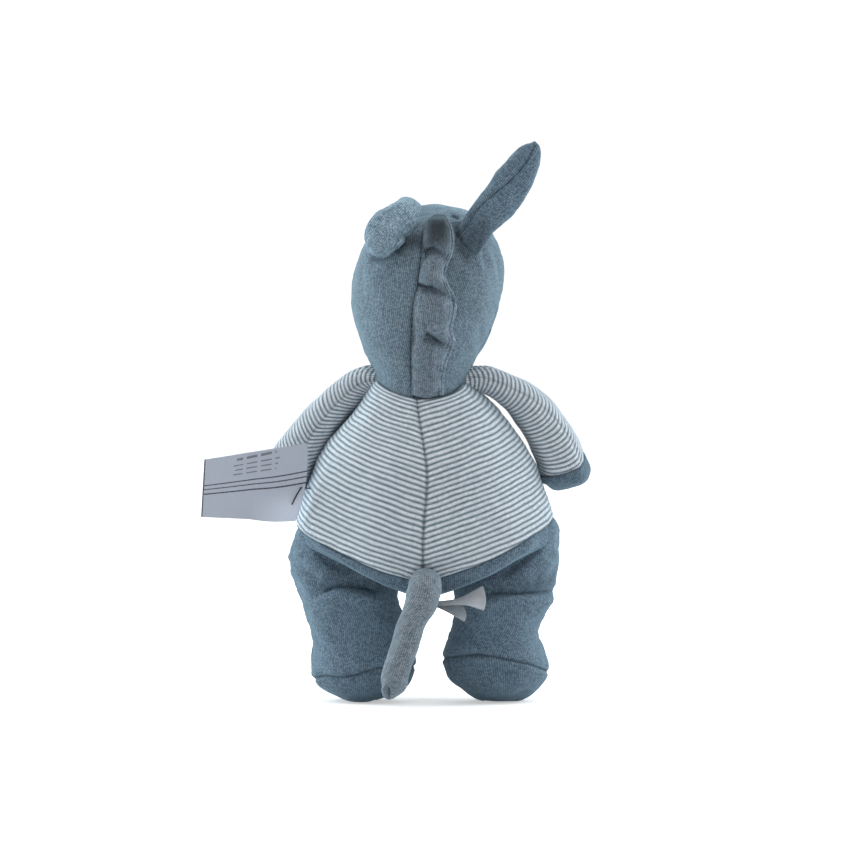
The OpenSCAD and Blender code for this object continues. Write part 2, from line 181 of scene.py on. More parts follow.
STACK_STEP = 0.4  # the step along v that gives a stacked form's slope, in millimetres
LIMB_STEP = 0.004  # the same on a limb, where v runs from 0 to 1


def stacked(rows):
    """A form of ellipses one above the other. A row is (z, half width, half depth, centre x, centre y)."""
    def f(u, z):
        r = curve(rows, z)
        a = np.radians(u)
        x = r[..., 3] + r[..., 1] * np.cos(a)
        y = r[..., 4] + r[..., 2] * np.sin(a)
        return np.stack([x, y, z + 0 * a], -1)
    return f


def limb(rows, across):
    """A round form along a path. A row is (v, x, y, z, half width, half thickness)."""
    def f(u, v):
        r = curve(rows, v)
        step = 0.01
        along = unit(curve(rows, v + step)[..., 1:4] - curve(rows, v - step)[..., 1:4])
        depth = unit(np.cross(along, np.asarray(across, float)))
        wide = unit(np.cross(depth, along))
        a = np.radians(u)[..., None]
        return r[..., 1:4] + wide * r[..., 4:5] * np.cos(a) + depth * r[..., 5:6] * np.sin(a)
    return f


def normals(f, u, v, dv):
    along_u = f(u + 0.5, v) - f(u - 0.5, v)
    along_v = f(u, v + dv) - f(u, v - dv)
    return unit(np.cross(along_u, along_v))


def facing_angle(form, direction, v=0.55):
    """The angle round a limb at which its surface most nearly faces a direction."""
    angles = np.linspace(0, 360, 361)
    n = normals(form, angles, np.full(361, v), LIMB_STEP)
    return float(angles[np.argmax(n @ np.asarray(direction, float))])


def value(g, x):
    return g(x) if callable(g) else np.full_like(x, float(g))


class Patch:
    """A grid of points on a surface, between u0 and u1 and between v0 and v1, any of which may bend."""

    def __init__(self, f, u0, u1, nu, v0, v1, nv, dv=STACK_STEP):
        s, t = square_grid(nu, nv)
        u = mix(value(u0, s), value(u1, s), s)
        for _ in range(5):
            v = mix(value(v0, u), value(v1, u), t)
            u = mix(value(u0, v), value(u1, v), s)
        self.u, self.v = u, v
        self.p = f(u, v)
        self.n = normals(f, u, v, dv)
        self.seam_and_shade = np.zeros_like(u)
        self.map_u, self.map_v = arcs(self.p)
        self.edge = {
            "u0": self.map_u,
            "u1": self.map_u[:, -1:] - self.map_u,
            "v0": self.map_v,
            "v1": self.map_v[-1:, :] - self.map_v,
        }

    def push(self, by):
        self.p = self.p + self.n * np.asarray(by)[..., None]
        return self

    def lumps(self, size, by, seed):
        return self.push(by * waves(self.p, size, seed))

    def mark(self, dark):
        """Darkens the cloth, where it isn't darker already."""
        self.seam_and_shade = np.maximum(self.seam_and_shade, dark)
        return self

    def seam(self, edges, depth=0.9, width=1.6, pucker=0.25, size=5.0, mark=1.0):
        """Sinks the cloth along its sewn edges, with small puckers beside them. It paints the sunk line
        darker too: the seam's dark line, and painted shade in its groove.
        """
        base = self.p.copy()
        for name in edges:
            d = self.edge[name]
            dip = bell(d, width)
            self.push(-depth * dip)
            self.push(pucker * waves(base, size, 31) * bell(d, 3.2 * width) * (1 - dip))
            self.mark(mark * bell(d, 0.5 * width))
        return self

    def crease(self, line, depth, width, back=True, mark=0.5, lip=0.35):
        """Presses a fold into the cloth along (x, z) points: sharp, hollow above and full below. It paints
        shade into the fold as well.
        """
        best, place, above = near_line(self.p[..., [0, 2]], line)
        outward = -self.n[..., 1] if back else self.n[..., 1]
        fade = smooth(place, 0, 0.25) * smooth(1 - place, 0, 0.25) * smooth(outward, -0.1, 0.25)
        upper = smooth(above, -0.5, 0.5)
        dip = bell(best, width * mix(0.7, 1.9, upper)) * fade
        ridge = bell(best - 2.2 * width, 1.3 * width) * fade * (1.2 - upper)
        self.push(-depth * dip + lip * depth * ridge)
        return self.mark(mark * bell(best, 0.4 * width) * fade)

    def shade(self, line, reach, by):
        """Darkens the back softly along (x, z) points, where the pieces beside it keep the light away."""
        best, _, _ = near_line(self.p[..., [0, 2]], line)
        return self.mark(by * bell(best, reach) * smooth(-self.n[..., 1], 0, 0.4))

    def turned(self, degrees):
        """Turns the knit on this panel. The courses rise away from u0 with a positive angle."""
        a = math.radians(degrees)
        x, y = self.map_u, self.map_v
        self.map_u = x * math.cos(a) + y * math.sin(a)
        self.map_v = y * math.cos(a) - x * math.sin(a)
        return self


class Sheet:
    """A bare grid with the arrays that grid_object reads."""

    def __init__(self, p, seam_and_shade=None, maps=None):
        self.p = p
        self.seam_and_shade = np.zeros(p.shape[:2]) if seam_and_shade is None else seam_and_shade
        self.map_u, self.map_v = arcs(p) if maps is None else maps


# ---- Meshes ----

UV_SCALE = 0.01


def mesh_object(name, points, faces, uvs, seam_and_shade, material, thick):
    """A mesh from points in millimetres, its faces, and a (u, v) pair in millimetres for each face corner."""
    mesh = bpy.data.meshes.new(name)
    sizes = np.array([len(f) for f in faces])
    flat = np.concatenate([np.asarray(f) for f in faces]).astype(np.int32)
    mesh.vertices.add(len(points))
    mesh.vertices.foreach_set("co", (np.asarray(points) * MM).astype(np.float32).ravel())
    mesh.loops.add(len(flat))
    mesh.loops.foreach_set("vertex_index", flat)
    mesh.polygons.add(len(faces))
    starts = np.concatenate([[0], np.cumsum(sizes)[:-1]]).astype(np.int32)
    mesh.polygons.foreach_set("loop_start", starts)
    mesh.polygons.foreach_set("use_smooth", np.ones(len(faces), bool))
    mesh.update(calc_edges=True)
    layer = mesh.uv_layers.new(name="Knit")
    layer.data.foreach_set("uv", (np.asarray(uvs) * UV_SCALE).astype(np.float32).ravel())
    # how dark each point is painted: the seams' dark lines and painted shade
    store = mesh.attributes.new("seam_and_shade", "FLOAT", "POINT")
    store.data.foreach_set("value", np.asarray(seam_and_shade).astype(np.float32))
    mesh.validate()
    obj = bpy.data.objects.new(name, mesh)
    scene.collection.objects.link(obj)
    mesh.materials.append(material)
    if thick:
        shell = obj.modifiers.new("cloth", "SOLIDIFY")
        shell.thickness = thick * MM
        shell.offset = -1
    return obj


def grid_object(name, patch, material, wrap=False, cap=False, cap_start=False, thick=0.9):
    """The patch as a mesh, closed round with wrap, and with flat ends where cap and cap_start ask."""
    rows, cols = patch.p.shape[:2]
    across = cols - 1 if wrap else cols
    points = patch.p[:, :across].reshape(-1, 3)
    seam_and_shade = patch.seam_and_shade[:, :across].reshape(-1)
    j, i = np.meshgrid(np.arange(rows - 1), np.arange(cols - 1), indexing="ij")
    j, i = j.ravel(), i.ravel()
    corners = [(j, i), (j, i + 1), (j + 1, i + 1), (j + 1, i)]
    faces = list(np.stack([a * across + (b % across if wrap else b) for a, b in corners], 1))
    uvs = np.stack([np.stack([patch.map_u[c], patch.map_v[c]], 1) for c in corners], 1).reshape(-1, 2)
    for wanted, row, order in ((cap, rows - 1, 1), (cap_start, 0, -1)):
        if wanted:
            ring = np.arange(across)[::order]
            faces.append(row * across + ring)
            uvs = np.concatenate([uvs, np.stack([patch.map_u[row, ring], patch.map_v[row, ring]], 1)])
    return mesh_object(name, points, faces, uvs, seam_and_shade, material, thick)


def joined_mesh(name, parts, material):
    """One object from several (points, faces, uvs) parts."""
    points, faces, uvs, start = [], [], [], 0
    for p, f, uv in parts:
        points.append(p)
        faces += [np.asarray(face) + start for face in f]
        uvs.append(uv)
        start += len(p)
    points = np.concatenate(points)
    return mesh_object(name, points, faces, np.concatenate(uvs), np.zeros(len(points)), material, 0)


def tube(path, radius, sides=12):
    """A round rod along points, with rounded ends, as (points, faces, uvs)."""
    path = np.asarray(path, float)
    radius = np.broadcast_to(np.asarray(radius, float), (len(path),))
    along = unit(np.gradient(path, axis=0))
    side = unit(np.cross(along, np.array([0.31, 0.27, 0.91])))
    other = np.cross(along, side)
    a = np.linspace(0, 2 * np.pi, sides, endpoint=False)[:, None]
    last = len(path) - 1
    stations = [(0, -0.98), (0, -0.8), (0, -0.45)]
    stations += [(k, 0) for k in range(len(path))]
    stations += [(last, 0.45), (last, 0.8), (last, 0.98)]
    rings = []
    for k, lift in stations:
        r = radius[k] * math.sqrt(1 - lift * lift)
        centre = path[k] + along[k] * radius[k] * lift
        rings.append(centre + r * (np.cos(a) * side[k] + np.sin(a) * other[k]))
    n = len(rings)
    faces, uvs = [], []
    for j in range(n - 1):
        for i in range(sides):
            m = (i + 1) % sides
            faces.append([j * sides + i, j * sides + m, (j + 1) * sides + m, (j + 1) * sides + i])
            uvs += [(i, j), (i + 1, j), (i + 1, j + 1), (i, j + 1)]
    for ring, first, row in ((range(sides)[::-1], 0, 0), (range(sides), (n - 1) * sides, n)):
        faces.append([first + i for i in ring])
        uvs += [(i, row) for i in range(sides)]
    return np.concatenate(rings), faces, np.asarray(uvs, float)


# ---- Materials ----

class Wire:
    """A number inside a material. Sums, products and quotients of wires add the nodes that work them out."""

    def __init__(self, look, socket):
        self.look = look
        self.socket = socket

    def __add__(self, other):
        return self.look.math("ADD", self, other)

    def __radd__(self, other):
        return self.look.math("ADD", other, self)

    def __sub__(self, other):
        return self.look.math("SUBTRACT", self, other)

    def __rsub__(self, other):
        return self.look.math("SUBTRACT", other, self)

    def __mul__(self, other):
        return self.look.math("MULTIPLY", self, other)

    def __truediv__(self, other):
        return self.look.math("DIVIDE", self, other)

    def __abs__(self):
        return self.look.math("ABSOLUTE", self)


class Look:
    """A node material built up a step at a time."""

    def __init__(self, name, roughness=0.9, sheen=0.0, sheen_tint=(1, 1, 1, 1)):
        self.material = bpy.data.materials.new(name)
        self.material.use_nodes = True
        self.tree = self.material.node_tree
        self.tree.nodes.clear()
        out = self.node("OutputMaterial")
        self.shader = self.node("BsdfPrincipled")
        self.tree.links.new(self.shader.outputs[0], out.inputs[0])
        self.shader.inputs["Roughness"].default_value = roughness
        self.shader.inputs["Sheen Weight"].default_value = sheen
        self.shader.inputs["Sheen Roughness"].default_value = 0.4
        self.shader.inputs["Sheen Tint"].default_value = sheen_tint
        self.shader.inputs["Specular IOR Level"].default_value = 0.25

    def node(self, kind, **settings):
        node = self.tree.nodes.new("ShaderNode" + kind)
        for name, setting in settings.items():
            setattr(node, name, setting)
        return node

    def put(self, socket, x):
        """Gives a socket a wire or a fixed value."""
        if isinstance(x, Wire):
            self.tree.links.new(x.socket, socket)
        elif x is not None:
            socket.default_value = x

    def math(self, operation, a, b=None):
        node = self.node("Math", operation=operation)
        self.put(node.inputs[0], a)
        self.put(node.inputs[1], b)
        return Wire(self, node.outputs[0])

    def step(self, x, low, high, to_low=0.0, to_high=1.0):
        node = self.node("MapRange", interpolation_type="SMOOTHSTEP")
        for k, y in enumerate((x, low, high, to_low, to_high)):
            self.put(node.inputs[k], y)
        return Wire(self, node.outputs[0])

    def mix(self, share, a, b, how="MIX"):
        """A mix of two colours, each a wire or three numbers."""
        node = self.node("Mix", data_type="RGBA", blend_type=how)
        self.put(node.inputs["Factor"], share)
        self.put(node.inputs[6], a if isinstance(a, Wire) else (*a, 1))
        self.put(node.inputs[7], b if isinstance(b, Wire) else (*b, 1))
        return Wire(self, node.outputs[2])

    def joined(self, kind, *numbers):
        """Three numbers as one colour or one vector."""
        node = self.node(kind)
        for k, x in enumerate(numbers):
            self.put(node.inputs[k], x)
        return Wire(self, node.outputs[0])

    def noise(self, where, scale, detail=2.0, roughness=0.5):
        node = self.node("TexNoise")
        self.put(node.inputs["Vector"], where)
        node.inputs["Scale"].default_value = scale
        node.inputs["Detail"].default_value = detail
        node.inputs["Roughness"].default_value = roughness
        return Wire(self, node.outputs[0])

    def cell(self, where):
        node = self.node("TexWhiteNoise", noise_dimensions="2D")
        self.put(node.inputs["Vector"], where)
        return Wire(self, node.outputs[0])

    def place(self):
        """The knit map as x and y in millimetres, and the place in the toy in millimetres."""
        uv = self.node("UVMap", uv_map="Knit")
        parts = self.node("SeparateXYZ")
        self.tree.links.new(uv.outputs[0], parts.inputs[0])
        x, y = [Wire(self, parts.outputs[k]) / UV_SCALE for k in range(2)]
        at = self.node("TexCoord")
        scaled = self.node("VectorMath", operation="SCALE")
        self.tree.links.new(at.outputs["Object"], scaled.inputs[0])
        scaled.inputs["Scale"].default_value = 1 / MM
        return x, y, Wire(self, scaled.outputs[0])

    def stored(self, name):
        return Wire(self, self.node("Attribute", attribute_name=name).outputs["Fac"])

    def finish(self, colour, roughness, height, strength, distance):
        """Joins up the colour, the roughness and the bump, with the bump's distance in millimetres."""
        bump = self.node("Bump")
        bump.inputs["Strength"].default_value = strength
        bump.inputs["Distance"].default_value = distance * MM
        self.put(bump.inputs["Height"], height)
        self.put(self.shader.inputs["Normal"], Wire(self, bump.outputs[0]))
        self.put(self.shader.inputs["Base Color"], colour)
        self.put(self.shader.inputs["Roughness"], roughness)
        return self.material


def tone(r, g, b):
    """A colour given as 0 to 255 display values, as scene-linear numbers."""
    return tuple(((c / 255 + 0.055) / 1.055) ** 2.4 for c in (r, g, b))


WALE = 1.25  # from one column of stitches to the next, in millimetres
COURSE = 0.85  # from one row of stitches to the next
PITCH = 3.2  # from one stripe to the next
SHEEN_BLUE = (0.54, 0.82, 1.0, 1)


def knitted(name, dark, light, stripe=None, marl=0.58, relief=0.5):
    """Jersey in stocking stitch: columns of slanted loops in marled yarn, with stripes if asked."""
    m = Look(name, sheen=0.45, sheen_tint=SHEEN_BLUE)
    x, y, spot = m.place()
    x = x + m.noise(spot, 0.045, 1.0) * 1.6
    y = y + m.noise(spot, 0.06, 1.0) * 1.8
    column = x / WALE
    t = abs(m.math("FRACT", column) * 2.0 - 1.0)
    rib = 1.0 - m.math("POWER", t, 3.0)
    cleft = m.step(t, 0.0, 0.3, 0.8, 1.0)
    slanted = y / COURSE + t * 0.8
    across = m.math("FRACT", slanted) * 2.0 - 1.0
    loop = 1.0 - across * across
    height = rib * cleft * (0.5 + loop * 0.5)
    stitch = m.cell(m.joined("CombineXYZ", m.math("FLOOR", column), m.math("FLOOR", slanted)))
    cluster = m.noise(m.joined("CombineXYZ", x * 0.55, y * 0.75), 1.0, 3.0, 0.7)
    fine = m.noise(spot, 1.7, 3.0, 0.7)
    shade = m.step(cluster, 0.34, 0.66) * 0.11 + stitch * 0.46 + m.step(fine, 0.3, 0.7) * 0.43
    shade = 0.5 + (shade - 0.5) * (marl * 2.0)
    body = m.mix(shade, dark, light)
    if stripe:
        phase = m.math("FRACT", (y + t * (0.9 * COURSE)) / PITCH)
        band = m.step(abs(phase * 2.0 - 1.0), 0.42, 0.72)
        body = m.mix(band, body, m.mix(shade, *stripe))
    # painted shade in the hollows between the stitches and their loops
    stitch_shade = 0.34 + height * 0.98
    # darkens the knit by the painted seams and shade stored on the mesh
    seam_and_shade_factor = 1.0 - m.stored("seam_and_shade") * 0.58
    blotch = 0.95 + m.noise(spot, 0.02, 2.0) * 0.10
    shaded = stitch_shade * seam_and_shade_factor * blotch
    colour = m.mix(1.0, body, m.joined("CombineColor", shaded, shaded, shaded), "MULTIPLY")
    fuzz = m.noise(spot, 3.0, 2.0, 0.7) * 0.35
    return m.finish(colour, 0.80 + fine * 0.18, height + fuzz, relief, 0.28)


def thread_look():
    m = Look("thread", sheen=0.2)
    x, y, spot = m.place()
    strand = m.math("SINE", (x + y) * 7.0)
    colour = m.mix(m.noise(spot, 1.2, 3.0), tone(22, 24, 28), tone(52, 56, 62))
    return m.finish(colour, 0.45 + m.noise(spot, 0.9) * 0.25, strand, 0.6, 0.18)


def fibre_look():
    m = Look("fibre", sheen=0.3)
    _, _, spot = m.place()
    wisp = m.noise(spot, 0.7, 6.0, 0.7)
    colour = m.mix(wisp, tone(214, 212, 205), tone(240, 239, 234))
    return m.finish(colour, 0.85 + wisp * 0.12, wisp, 0.8, 1.2)


def satin_look():
    """Woven satin ribbon with a raised edge along both sides."""
    m = Look("satin", sheen=0.25)
    x, y, spot = m.place()
    warp = m.math("SINE", x * 16.0)
    weft = m.math("SINE", y * 11.0)
    edge = m.step(abs(m.math("FRACT", y / 14.0) - 0.5), 0.43, 0.47)
    colour = m.mix(m.noise(spot, 0.35, 4.0), tone(138, 143, 150), tone(176, 181, 187))
    height = warp * 0.6 + weft * 0.4 + edge * 2.0
    return m.finish(colour, 0.38 + m.noise(spot, 0.8) * 0.2, height, 0.35, 0.08)


def card_look():
    """Off-white card with a dark border at one side, three ruled lines, and plain dashes for print."""
    m = Look("card")
    x, y, spot = m.place()
    pulp = m.noise(spot, 1.6, 5.0, 0.6)
    paper = m.mix(pulp, tone(163, 169, 183), tone(184, 191, 205))
    rising = y - x * 0.075
    # painted light: paler towards the lower corner on the body's side, where the curled card catches more
    # light
    corner = m.step(x, 26.0, 60.0, 0.0, 0.75) * m.step(rising, 19.0, 3.0)
    paper = m.mix(corner, paper, tone(212, 219, 234))

    def rule(middle, half):
        return m.step(abs(rising - middle), half, half + 0.2, 1.0, 0.0)

    ink = m.step(x, 0.75, 1.0, 1.0, 0.0)
    for middle, half in ((24.8, 0.30), (21.6, 0.28), (18.0, 0.38)):
        ink = m.math("MAXIMUM", ink, rule(middle, half))
    dashes = m.step(m.math("FRACT", x * 0.115), 0.72, 0.78, 1.0, 0.0)
    rows = ((40.5, 0.75, 20, 44), (36.4, 0.32, 18, 46), (33.2, 0.32, 19, 45), (30.0, 0.32, 18, 44))
    for middle, half, start, stop in rows:
        within = m.step(x, start, start + 0.4) * m.step(x, stop, stop + 0.4, 1.0, 0.0)
        ink = m.math("MAXIMUM", ink, rule(middle, half) * dashes * within * 0.7)
    patchy = m.step(m.noise(spot, 0.9, 3.0), 0.25, 0.6, 0.75, 1.0)
    colour = m.mix(ink * patchy, paper, tone(64, 66, 74))
    return m.finish(colour, 0.55 + pulp * 0.2, pulp, 0.2, 0.1)


def pin_look():
    m = Look("pin")
    _, _, spot = m.place()
    colour = m.mix(m.noise(spot, 0.8, 3.0), tone(26, 28, 32), tone(48, 50, 56))
    return m.finish(colour, 0.35 + m.noise(spot, 2.0) * 0.2, m.noise(spot, 3.0), 0.15, 0.05)


knit_leg = knitted("knit_leg", tone(54, 75, 92), tone(124, 144, 160))
knit_head = knitted("knit_head", tone(64, 83, 98), tone(132, 149, 161))
# a lighter copy of the head's knit, painted as light falling on the folded ear and the crown
knit_head_lit = knitted("knit_head_lit", tone(84, 108, 126), tone(160, 182, 196), marl=0.9)
knit_mane = knitted("knit_mane", tone(66, 82, 96), tone(136, 149, 160))
knit_pale = knitted("knit_pale", tone(75, 90, 103), tone(152, 161, 169), marl=0.55, relief=0.4)
knit_stripe = knitted(
    "knit_stripe", tone(185, 194, 204), tone(241, 244, 248),
    stripe=(tone(78, 97, 113), tone(142, 158, 169)), marl=0.65, relief=0.6,
)
knit_muzzle = knitted("knit_muzzle", tone(205, 205, 202), tone(228, 227, 222), marl=0.3)
thread = thread_look()
fibre = fibre_look()
satin = satin_look()
card = card_look()
pin_black = pin_look()


# ---- Forms. Rows run upwards; the back of the toy faces -Y, at u = 270 degrees ----

seat_lo, seat_hi = box_mm("seat_left", "seat_right")
BELLY_W = (seat_hi[0] - seat_lo[0]) / 2
BELLY_D = box_mm("torso_front")[1][1]
HEM_SIDE_Z = seat_hi[2]
HEM_BACK_Z = box_mm("torso_back_left")[0][2]
NECK_BACK_Z = 183.0
HEAD_TOP_Z = box_mm("head_back_left")[1][2]
NECK_SHIFT = -4.0

torso_rows = [
    (58, 0.86 * BELLY_W, 0.56 * BELLY_D, 0, 0),
    (74, 0.955 * BELLY_W, 0.80 * BELLY_D, 0, 0),
    (90, 0.985 * BELLY_W, 0.955 * BELLY_D, 0, 0),
    (108, 0.965 * BELLY_W, 1.00 * BELLY_D, 0, 0),
    (133, 0.872 * BELLY_W, 0.95 * BELLY_D, 0, 0),
    (151, 0.765 * BELLY_W, 0.87 * BELLY_D, 0, 0),
    (166, 0.645 * BELLY_W, 0.76 * BELLY_D, 0, 0),
    (182, 0.475 * BELLY_W, 0.640 * BELLY_D, -0.9, 1.7),
    (194, 0.37 * BELLY_W, 0.605 * BELLY_D, -3.0, 2.6),
    (202, 0.35 * BELLY_W, 0.59 * BELLY_D, -3.6, 2.6),
]
torso_form = stacked(torso_rows)
torso_seam_x = [
    (56, -1.8), (77, -1.8), (95, -1.8), (110, -1.2), (125, 0.2),
    (140, 0.6), (160, -2.2), (175, -4.6), (190, -6.0),
]


def back(u):
    return np.maximum(0, -np.sin(np.radians(u)))


def front(u):
    return np.maximum(0, np.sin(np.radians(u)))


def hem(u):
    """The shirt's lower edge: a V behind, higher and straighter on the right, and a low arc in front."""
    x = np.cos(np.radians(u))
    side_z = HEM_SIDE_Z + 1.4 + 2.6 * x
    rise = np.abs(x) ** (1.46 - 0.10 * np.clip(4 * x, -1, 1))
    behind = HEM_BACK_Z + 0.4 + (side_z - HEM_BACK_Z - 0.4) * rise
    return np.where(back(u) > 0, behind, side_z - 9 * front(u) ** 2.6)


def neckline(u):
    return NECK_BACK_Z + 12.5 - 12.5 * back(u) ** 2.2 - 4 * front(u) ** 2


def seat_low(u):
    return 97 - 33 * back(u) ** 3.2


def seam_u(rows_x, rows, base=270.0):
    """The angle of a seam that wanders across the back by the given x, on a stacked form."""
    def g(z):
        r = curve(rows, z)
        x = line_at(rows_x, z)
        return base + np.degrees(np.arcsin(np.clip((x - r[..., 3]) / r[..., 1], -1, 1)))
    return g


torso_seam_u = seam_u(torso_seam_x, torso_rows)


def height_arc(rows, low, high):
    """Arc length up the middle of the back, as rows of (z, length)."""
    z = np.linspace(low, high, 60)
    r = curve(rows, z)
    y = r[:, 4] - r[:, 2]
    step = np.hypot(np.diff(z), np.diff(y))
    return np.stack([z, np.concatenate([[0], np.cumsum(step)])], 1)


torso_arc = height_arc(torso_rows, 60, 200)
CHEVRON = 18.5  # how far the back's stripes slope down from the middle seam, in degrees
FRONT_SHIFT = 1.3  # moves the front's stripes up to meet the back's at the sides


def torso_shape(p):
    """The padding's soft lumps, with the cloth drawn in just under the neckline."""
    p.lumps(46, 0.9, 3).lumps(17, 0.35, 4)
    return p.push(-1.2 * bell(p.v - 196, 5))


def torso_panel(name, u0, u1, nu, from_u1=False, turn=0.0):
    p = Patch(torso_form, u0, u1, nu, hem, neckline, 100)
    p.map_u = p.edge["u1"] if from_u1 else p.edge["u0"]
    p.map_v = line_at(torso_arc, p.v) + (0 if turn else FRONT_SHIFT)
    p.turned(turn)
    p.map_v = p.map_v + 2.0 * bell(p.edge["v1"], 3.2)
    torso_shape(p)
    p.seam(["u0", "u1"], 0.75, 1.5, 0.3)
    p.seam(["v0", "v1"], 0.7, 1.3, 0.15)
    return grid_object(name, p, knit_stripe)


torso_back_left = torso_panel("torso_back_left_cover", 180, torso_seam_u, 72, True, CHEVRON)
torso_back_right = torso_panel("torso_back_right_cover", torso_seam_u, 360, 72, False, CHEVRON)
torso_front = torso_panel("torso_front_cover", 0, 180, 110)

SEAT_COLS = 110
SEAT_UNDER = 22  # rows of the half of the underside


def seat_panel(name, u0, u1):
    """The band under the hem and its half of the underside, which meets the other between the legs."""
    p = Patch(torso_form, u0, u1, SEAT_COLS, seat_low, hem, 22)
    torso_shape(p)
    low = p.edge["v0"]
    outside = smooth(np.abs(p.p[..., 0]), 60, 74)
    full = 0.9 * bell(low - 5.5, 4) - 3.4 * np.exp(-((low / 2.6) ** 1.5))
    p.push((1 - outside) * full - 3.2 * outside)
    p.seam(["v1"], 0.7, 1.3, 0.2)
    rim = p.p[0]
    down = unit(p.p[0] - p.p[1])
    keel = np.stack([0 * rim[:, 0] - 1.0, 0.62 * rim[:, 1], np.full(len(rim), seat_lo[2] - 0.5)], 1)
    reach = np.linalg.norm(keel - rim, axis=1)[:, None]
    inward = unit((keel - rim) * [1, 1, 0.15])
    start, end, leave, arrive = cubic(np.linspace(0, 1, SEAT_UNDER + 1)[1:, None, None])
    below = rim * start + keel * end + down * 6.0 * leave + inward * 0.7 * reach * arrive
    seam_and_shade = np.concatenate([np.zeros((SEAT_UNDER, SEAT_COLS + 1)), p.seam_and_shade])
    return grid_object(name, Sheet(np.concatenate([below[::-1], p.p]), seam_and_shade), knit_leg)


seat_left = seat_panel("seat_left_cover", 90, torso_seam_u)
seat_right = seat_panel("seat_right_cover", seam_u(torso_seam_x, torso_rows, -90.0), 90)


# ---- Legs: each is one tube from inside the hem to the sole's seam, with a fold at the hip ----

FOOT_LO, FOOT_HI = box_mm("leg_right_sole")
FOOT_W = (FOOT_HI[0] - FOOT_LO[0]) / 2
FOOT_D = (FOOT_HI[1] - FOOT_LO[1]) / 2
FOOT_X = (FOOT_HI[0] + FOOT_LO[0]) / 2
FOOT_Y = (FOOT_HI[1] + FOOT_LO[1]) / 2


def leg_form_rows(side):
    """Rows of (z, half width, half depth, centre x, centre y) for one leg. The left foot stands closer in."""
    if side == RIGHT:
        wide = [
            (0.3, 2.2, 0.36), (1.2, 2.2, 0.47), (3.0, 2.1, 0.59), (6.0, 1.8, 0.715), (11.0, 1.1, 0.87),
            (16.5, 0.4, 0.97), (25.0, -0.4, 1.02), (34.0, -1.4, 0.955), (40.0, -1.3, 0.89),
            (46.0, 0.0, 0.87), (53.0, 1.9, 0.900), (59.0, 2.9, 0.935),
            (65.0, 4.1, 0.975), (70.0, 4.8, 1.010), (79.0, 6.6, 1.005), (88.0, 7.8, 0.99), (98.0, 7.8, 0.985),
            (105.0, 7.6, 0.975), (110.5, 6.6, 0.88), (114.5, 5.6, 0.72),
        ]
    else:
        wide = [
            (0.3, -3.4, 0.32), (2.0, -3.5, 0.46), (6.6, -3.8, 0.75), (12.0, -4.0, 0.92),
            (16.5, -4.3, 0.99), (23.0, -5.0, 1.02), (30.0, -5.3, 1.00), (36.0, -5.0, 0.985),
            (45.0, -2.4, 0.97), (53.0, 0.9, 0.96), (59.0, 2.9, 0.955), (65.0, 4.5, 0.965),
            (70.0, 5.4, 0.98), (79.0, 7.0, 1.00), (88.0, 8.6, 1.00), (98.0, 7.4, 0.98),
            (105.0, 5.8, 0.95), (110.5, 4.6, 0.86), (114.0, 4.0, 0.72),
        ]
    deep = [
        (0.3, 0.38, 0.0), (2.2, 0.54, 0.0), (6.5, 0.76, 0.0),
        (11.0, 0.89, 0.0), (16.5, 0.965, 0.0), (25.0, 0.99, -0.4),
        (34.0, 0.92, -1.5), (40.0, 0.85, -3.0), (46.0, 0.81, -4.5), (53.0, 0.81, -5.5), (60.0, 0.84, -6.0),
        (66.0, 0.855, -5.8), (74.0, 0.865, -4.6), (84.0, 0.86, -3.4), (92.0, 0.83, -2.6), (99.0, 0.80, -2.4),
        (106.0, 0.74, -2.4), (115.0, 0.60, -2.4),
    ]
    rows = []
    for z, shift, share in wide:
        _, depth, back_shift = curve(deep, np.array(float(z)))
        rows.append((z, share * FOOT_W, depth * FOOT_D, side * (FOOT_X + shift), FOOT_Y + back_shift))
    return rows


def sole_seam(side):
    """The seam round the foot, higher on the inner side."""
    rise, tilt, sag, sway = (29.0, 4.4, 4.4, 0.3) if side == RIGHT else (19.6, 4.6, -0.4, 1.1)

    def g(u):
        outward = side * np.cos(np.radians(u))
        middle = rise - tilt * outward - sag * outward**2 - sway * np.sin(outward * 5.5)
        return middle - 8.0 * (1 - back(u)) * (0.4 + 0.6 * front(u))
    return g


hip_creases = {
    # the line of the fold, its depth, its width, and how dark its painted shade is
    LEFT: [
        ([(-68, 63), (-63, 67), (-55, 70.7), (-45, 71.2), (-36, 70), (-24, 68)], 4.4, 2.5, 0.95),
        ([(-84, 85), (-76, 81), (-69, 76), (-61, 72)], 1.8, 2.4, 0.2),
        ([(-70, 93), (-62, 88), (-54, 83), (-44, 79)], 2.0, 3.0, 0.25),
    ],
    RIGHT: [
        ([(86, 65), (77, 66), (66, 66.6), (54, 66.4), (44, 67.2), (30, 66)], 4.6, 2.4, 0.95),
        ([(42, 76), (50, 81), (58, 86.5), (66, 92), (72, 96)], 2.6, 3.0, 0.3),
        ([(82, 78), (72, 76), (60, 74)], 1.4, 3.0, 0.1),
        ([(78, 90), (70, 88), (62, 83)], 1.0, 2.4, 0.1),
    ],
}
hip_shadows = {
    # where the cloth lies in the shade of the band and of the folds
    LEFT: [[(-60, 76), (-50, 76), (-30, 73)], [(-62, 87), (-48, 79), (-32, 71)]],
    RIGHT: [[(74, 73), (56, 73), (36, 71)], [(32, 72), (48, 81), (62, 90)]],
}


